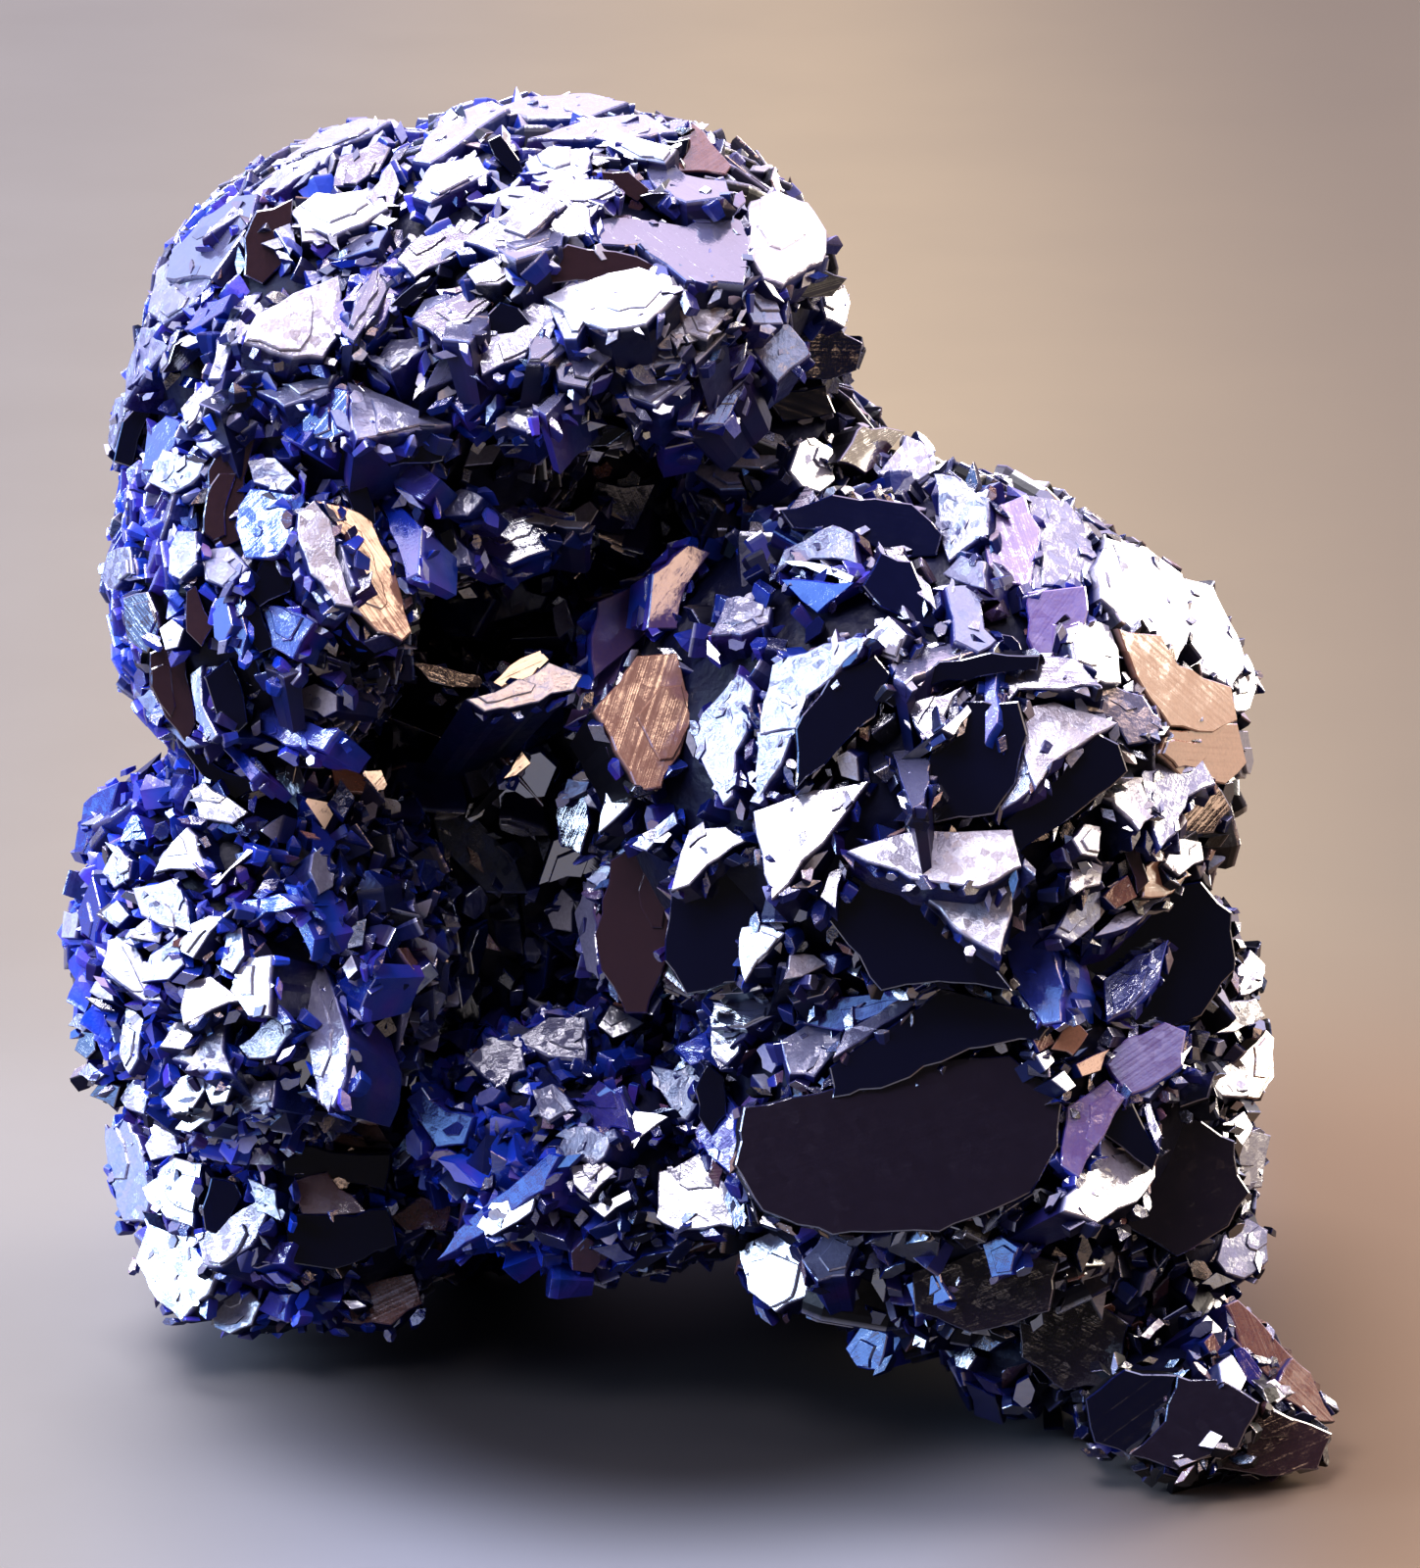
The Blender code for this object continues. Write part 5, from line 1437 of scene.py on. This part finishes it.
lightBoxes = {
    # direction from the specimen, distance, width and height (mm), power (W), colour
    "overhead": ((-0.24, 0.25, 0.94), 520, (320, 260), 9.0, (0.92, 0.90, 1.0)),
    "left": ((-0.90, -0.245, 0.35), 240, (90, 120), 0.85, (0.62, 0.76, 1.0)),
    "right": ((0.845, 0.352, 0.402), 240, (120, 120), 1.0, (1.0, 0.88, 0.72)),
    "peach": ((0.64, -0.665, 0.387), 260, (60, 70), 0.055, (1.0, 0.64, 0.44)),
    "amber": ((0.50, -0.45, 0.74), 260, (60, 50), 0.085, (1.0, 0.64, 0.42)),
    "front": ((-0.30, -0.50, 0.81), 260, (100, 80), 0.80, (0.94, 0.90, 1.0)),
}


def makeFloor():
    sh = Shader("paleFloor")
    place = sh.node("ShaderNodeTexCoord", output="Object")
    spot = sh.node("ShaderNodeSeparateXYZ", {}, {0: place})
    depth = sh.node("ShaderNodeSeparateXYZ", {}, {0: place}, output="Y")
    back = sh.node("ShaderNodeMapRange", {"interpolation_type": "SMOOTHSTEP"},
                   {"Value": depth, "From Min": studio["turnFrom"] * mm,
                    "From Max": (studio["turnFrom"] + studio["turnOver"]) * mm})
    cloud = sh.node("ShaderNodeTexNoise", {}, {"Vector": place, "Scale": studio["mottleScale"],
                                               "Detail": 6.0})

    def ramp(value, span):
        return sh.node("ShaderNodeMapRange", {"interpolation_type": "SMOOTHSTEP"},
                       {"Value": value, "From Min": span[0] * mm, "From Max": span[1] * mm})

    def along(span, first, second):
        return sh.mixColour(ramp(spot, span), first, second)

    # Painted light on the floor: cool tones near and in front, warm ones far behind, grey to the left and
    # brown to the right.
    near = along(studio["nearLeftSpan"], studio["nearLeft"], studio["near"])
    near = along(studio["nearRightSpan"], near, studio["nearRight"])
    # Painted shadow: close round the middle of the specimen the floor turns to the near-black under
    # colour.
    reach = sh.node("ShaderNodeVectorMath", {"operation": "DISTANCE"},
                    {0: place, 1: (0.0, studio["middleBack"] * mm, 0.0)}, output="Value")
    near = sh.mixColour(ramp(reach, studio["paintedShadowSpan"]), studio["under"], near)
    far = along(studio["farLeftSpan"], studio["farLeft"], studio["far"])
    far = along(studio["farRightSpan"], far, studio["farRight"])
    shade = sh.mixColour(back, near, far)
    shade = sh.mixColour(ramp(reach, studio["beyondSpan"]), shade, far)
    shade = sh.mixColour((1 - cloud) * studio["mottleShare"], shade, studio["mottle"])
    sh.feed(sh.surface.inputs["Base Color"], shade)
    sh.surface.inputs["Roughness"].default_value = studio["floorRough"]
    sh.surface.inputs["Specular IOR Level"].default_value = studio["floorSpecular"]
    shape = bmesh.new()
    bmesh.ops.create_grid(shape, x_segments=1, y_segments=1, size=studio["halfWidth"] * mm)
    mesh = bpy.data.meshes.new("floor")
    shape.to_mesh(mesh)
    shape.free()
    mesh.materials.append(sh.material)
    floor = bpy.data.objects.new("floor", mesh)
    bpy.context.scene.collection.objects.link(floor)


def makeWorld():
    # A soft tent: lilac above and behind, blue to the left, warm to the right, dark in front.
    world = bpy.data.worlds.new("studio")
    world.use_nodes = True
    sh = Shader("studio", world.node_tree)
    sky = sh.tree.nodes["Background"]
    way = sh.node("ShaderNodeTexCoord", output="Generated")

    def glow(direction, start, full):
        lean = sh.node("ShaderNodeVectorMath", {"operation": "DOT_PRODUCT"},
                       {0: way, 1: Vector(direction).normalized()}, output="Value")
        return sh.node("ShaderNodeMapRange", {"interpolation_type": "SMOOTHSTEP"},
                       {"Value": lean, "From Min": start, "From Max": full})

    def scaled(colour, strength):
        return tuple(value * strength for value in colour[:3]) + (1.0,)

    clouds = sh.node("ShaderNodeTexNoise", {}, {"Vector": way, "Scale": studio["patches"],
                                                "Detail": 1.0})
    uneven = (clouds - 0.5) * studio["patchDepth"] + 0.95
    tints = sh.node("ShaderNodeTexNoise", {"noise_dimensions": "4D"},
                    {"Vector": way, "W": 3.0, "Scale": studio["patches"], "Detail": 0.0})
    ceiling = sh.mixColour(tints * 4.0 - 1.5, scaled(studio["ceiling"], studio["ceilingLight"]),
                           scaled(studio["ceilingWarm"], studio["ceilingLight"]))
    ceiling = sh.mixColour(uneven, (0.0, 0.0, 0.0, 1.0), ceiling)
    shade = scaled(studio["gloom"], studio["gloomLight"])
    shade = sh.mixColour(glow(*studio["rightGlow"]), shade,
                         scaled(studio["rightWall"], studio["rightLight"]))
    shade = sh.mixColour(glow(*studio["leftGlow"]), shade,
                         scaled(studio["leftWall"], studio["leftLight"]))
    shade = sh.mixColour(glow(*studio["ceilingGlow"]), shade, ceiling)
    sh.feed(sky.inputs["Color"], shade)
    bpy.context.scene.world = world


def makeLights():
    target = Vector((0.0, 0.0, studio["aimUp"]))
    for name, (direction, distance, size, power, colour) in lightBoxes.items():
        lamp = bpy.data.lights.new(name, "AREA")
        lamp.shape = "RECTANGLE"
        lamp.size = size[0] * mm
        lamp.size_y = size[1] * mm
        lamp.energy = power
        lamp.color = colour
        box = bpy.data.objects.new(name, lamp)
        aim = Vector(direction).normalized()
        box.location = (target + aim * distance) * mm
        box.rotation_euler = (-aim).to_track_quat("-Z", "Y").to_euler()
        bpy.context.scene.collection.objects.link(box)
    bpy.context.scene.view_settings.view_transform = "Standard"


def makeCamera():
    lens = bpy.data.cameras.new("camera")
    lens.sensor_fit = "HORIZONTAL"
    lens.sensor_width = 36.0
    lens.lens = lens.sensor_width * show["distance"] / show["viewWidth"]
    lens.clip_start = 0.01
    lens.clip_end = 10.0
    camera = bpy.data.objects.new("camera", lens)
    aim = middle + across * show["aimAcross"] + upward * (show["aimUp"] - show["centreUp"])
    camera.location = (aim + Vector(show["planShift"]) + toward * show["distance"]) * mm
    camera.rotation_euler = (math.radians(90.0 - show["lift"]), 0.0, 0.0)
    bpy.context.scene.collection.objects.link(camera)
    bpy.context.scene.camera = camera


azurite = makeAzurite()
print("azurite material ready")
crystals = placedCrystals()
makeCore(makeDarkMass())
print("lobe mass ready")
makePlaced(crystals, azurite)
seeds = makeSeeds()
tree = growTree(seeds, azurite)
for rank, (name, rule) in enumerate(cover.items()):
    seed = seeded["covers"] + rank
    makeCover(name, coverPoints(rule, crystals, seed), tree, azurite, seed)
makeCover("edgeShards", shardPoints(crystals, seeded["shards"]), tree, azurite, seeded["shards"])
makeCover("faceCrumbs", crumbPoints(crystals, seeded["crumbs"]), tree, azurite, seeded["crumbs"])
for seedObject in list(seeds.objects):
    bpy.data.objects.remove(seedObject)
bpy.data.collections.remove(seeds)
bpy.data.node_groups.remove(tree[0])
makeFloor()
makeWorld()
makeLights()
print("floor, surroundings and lights ready")
makeCamera()
print("camera ready")
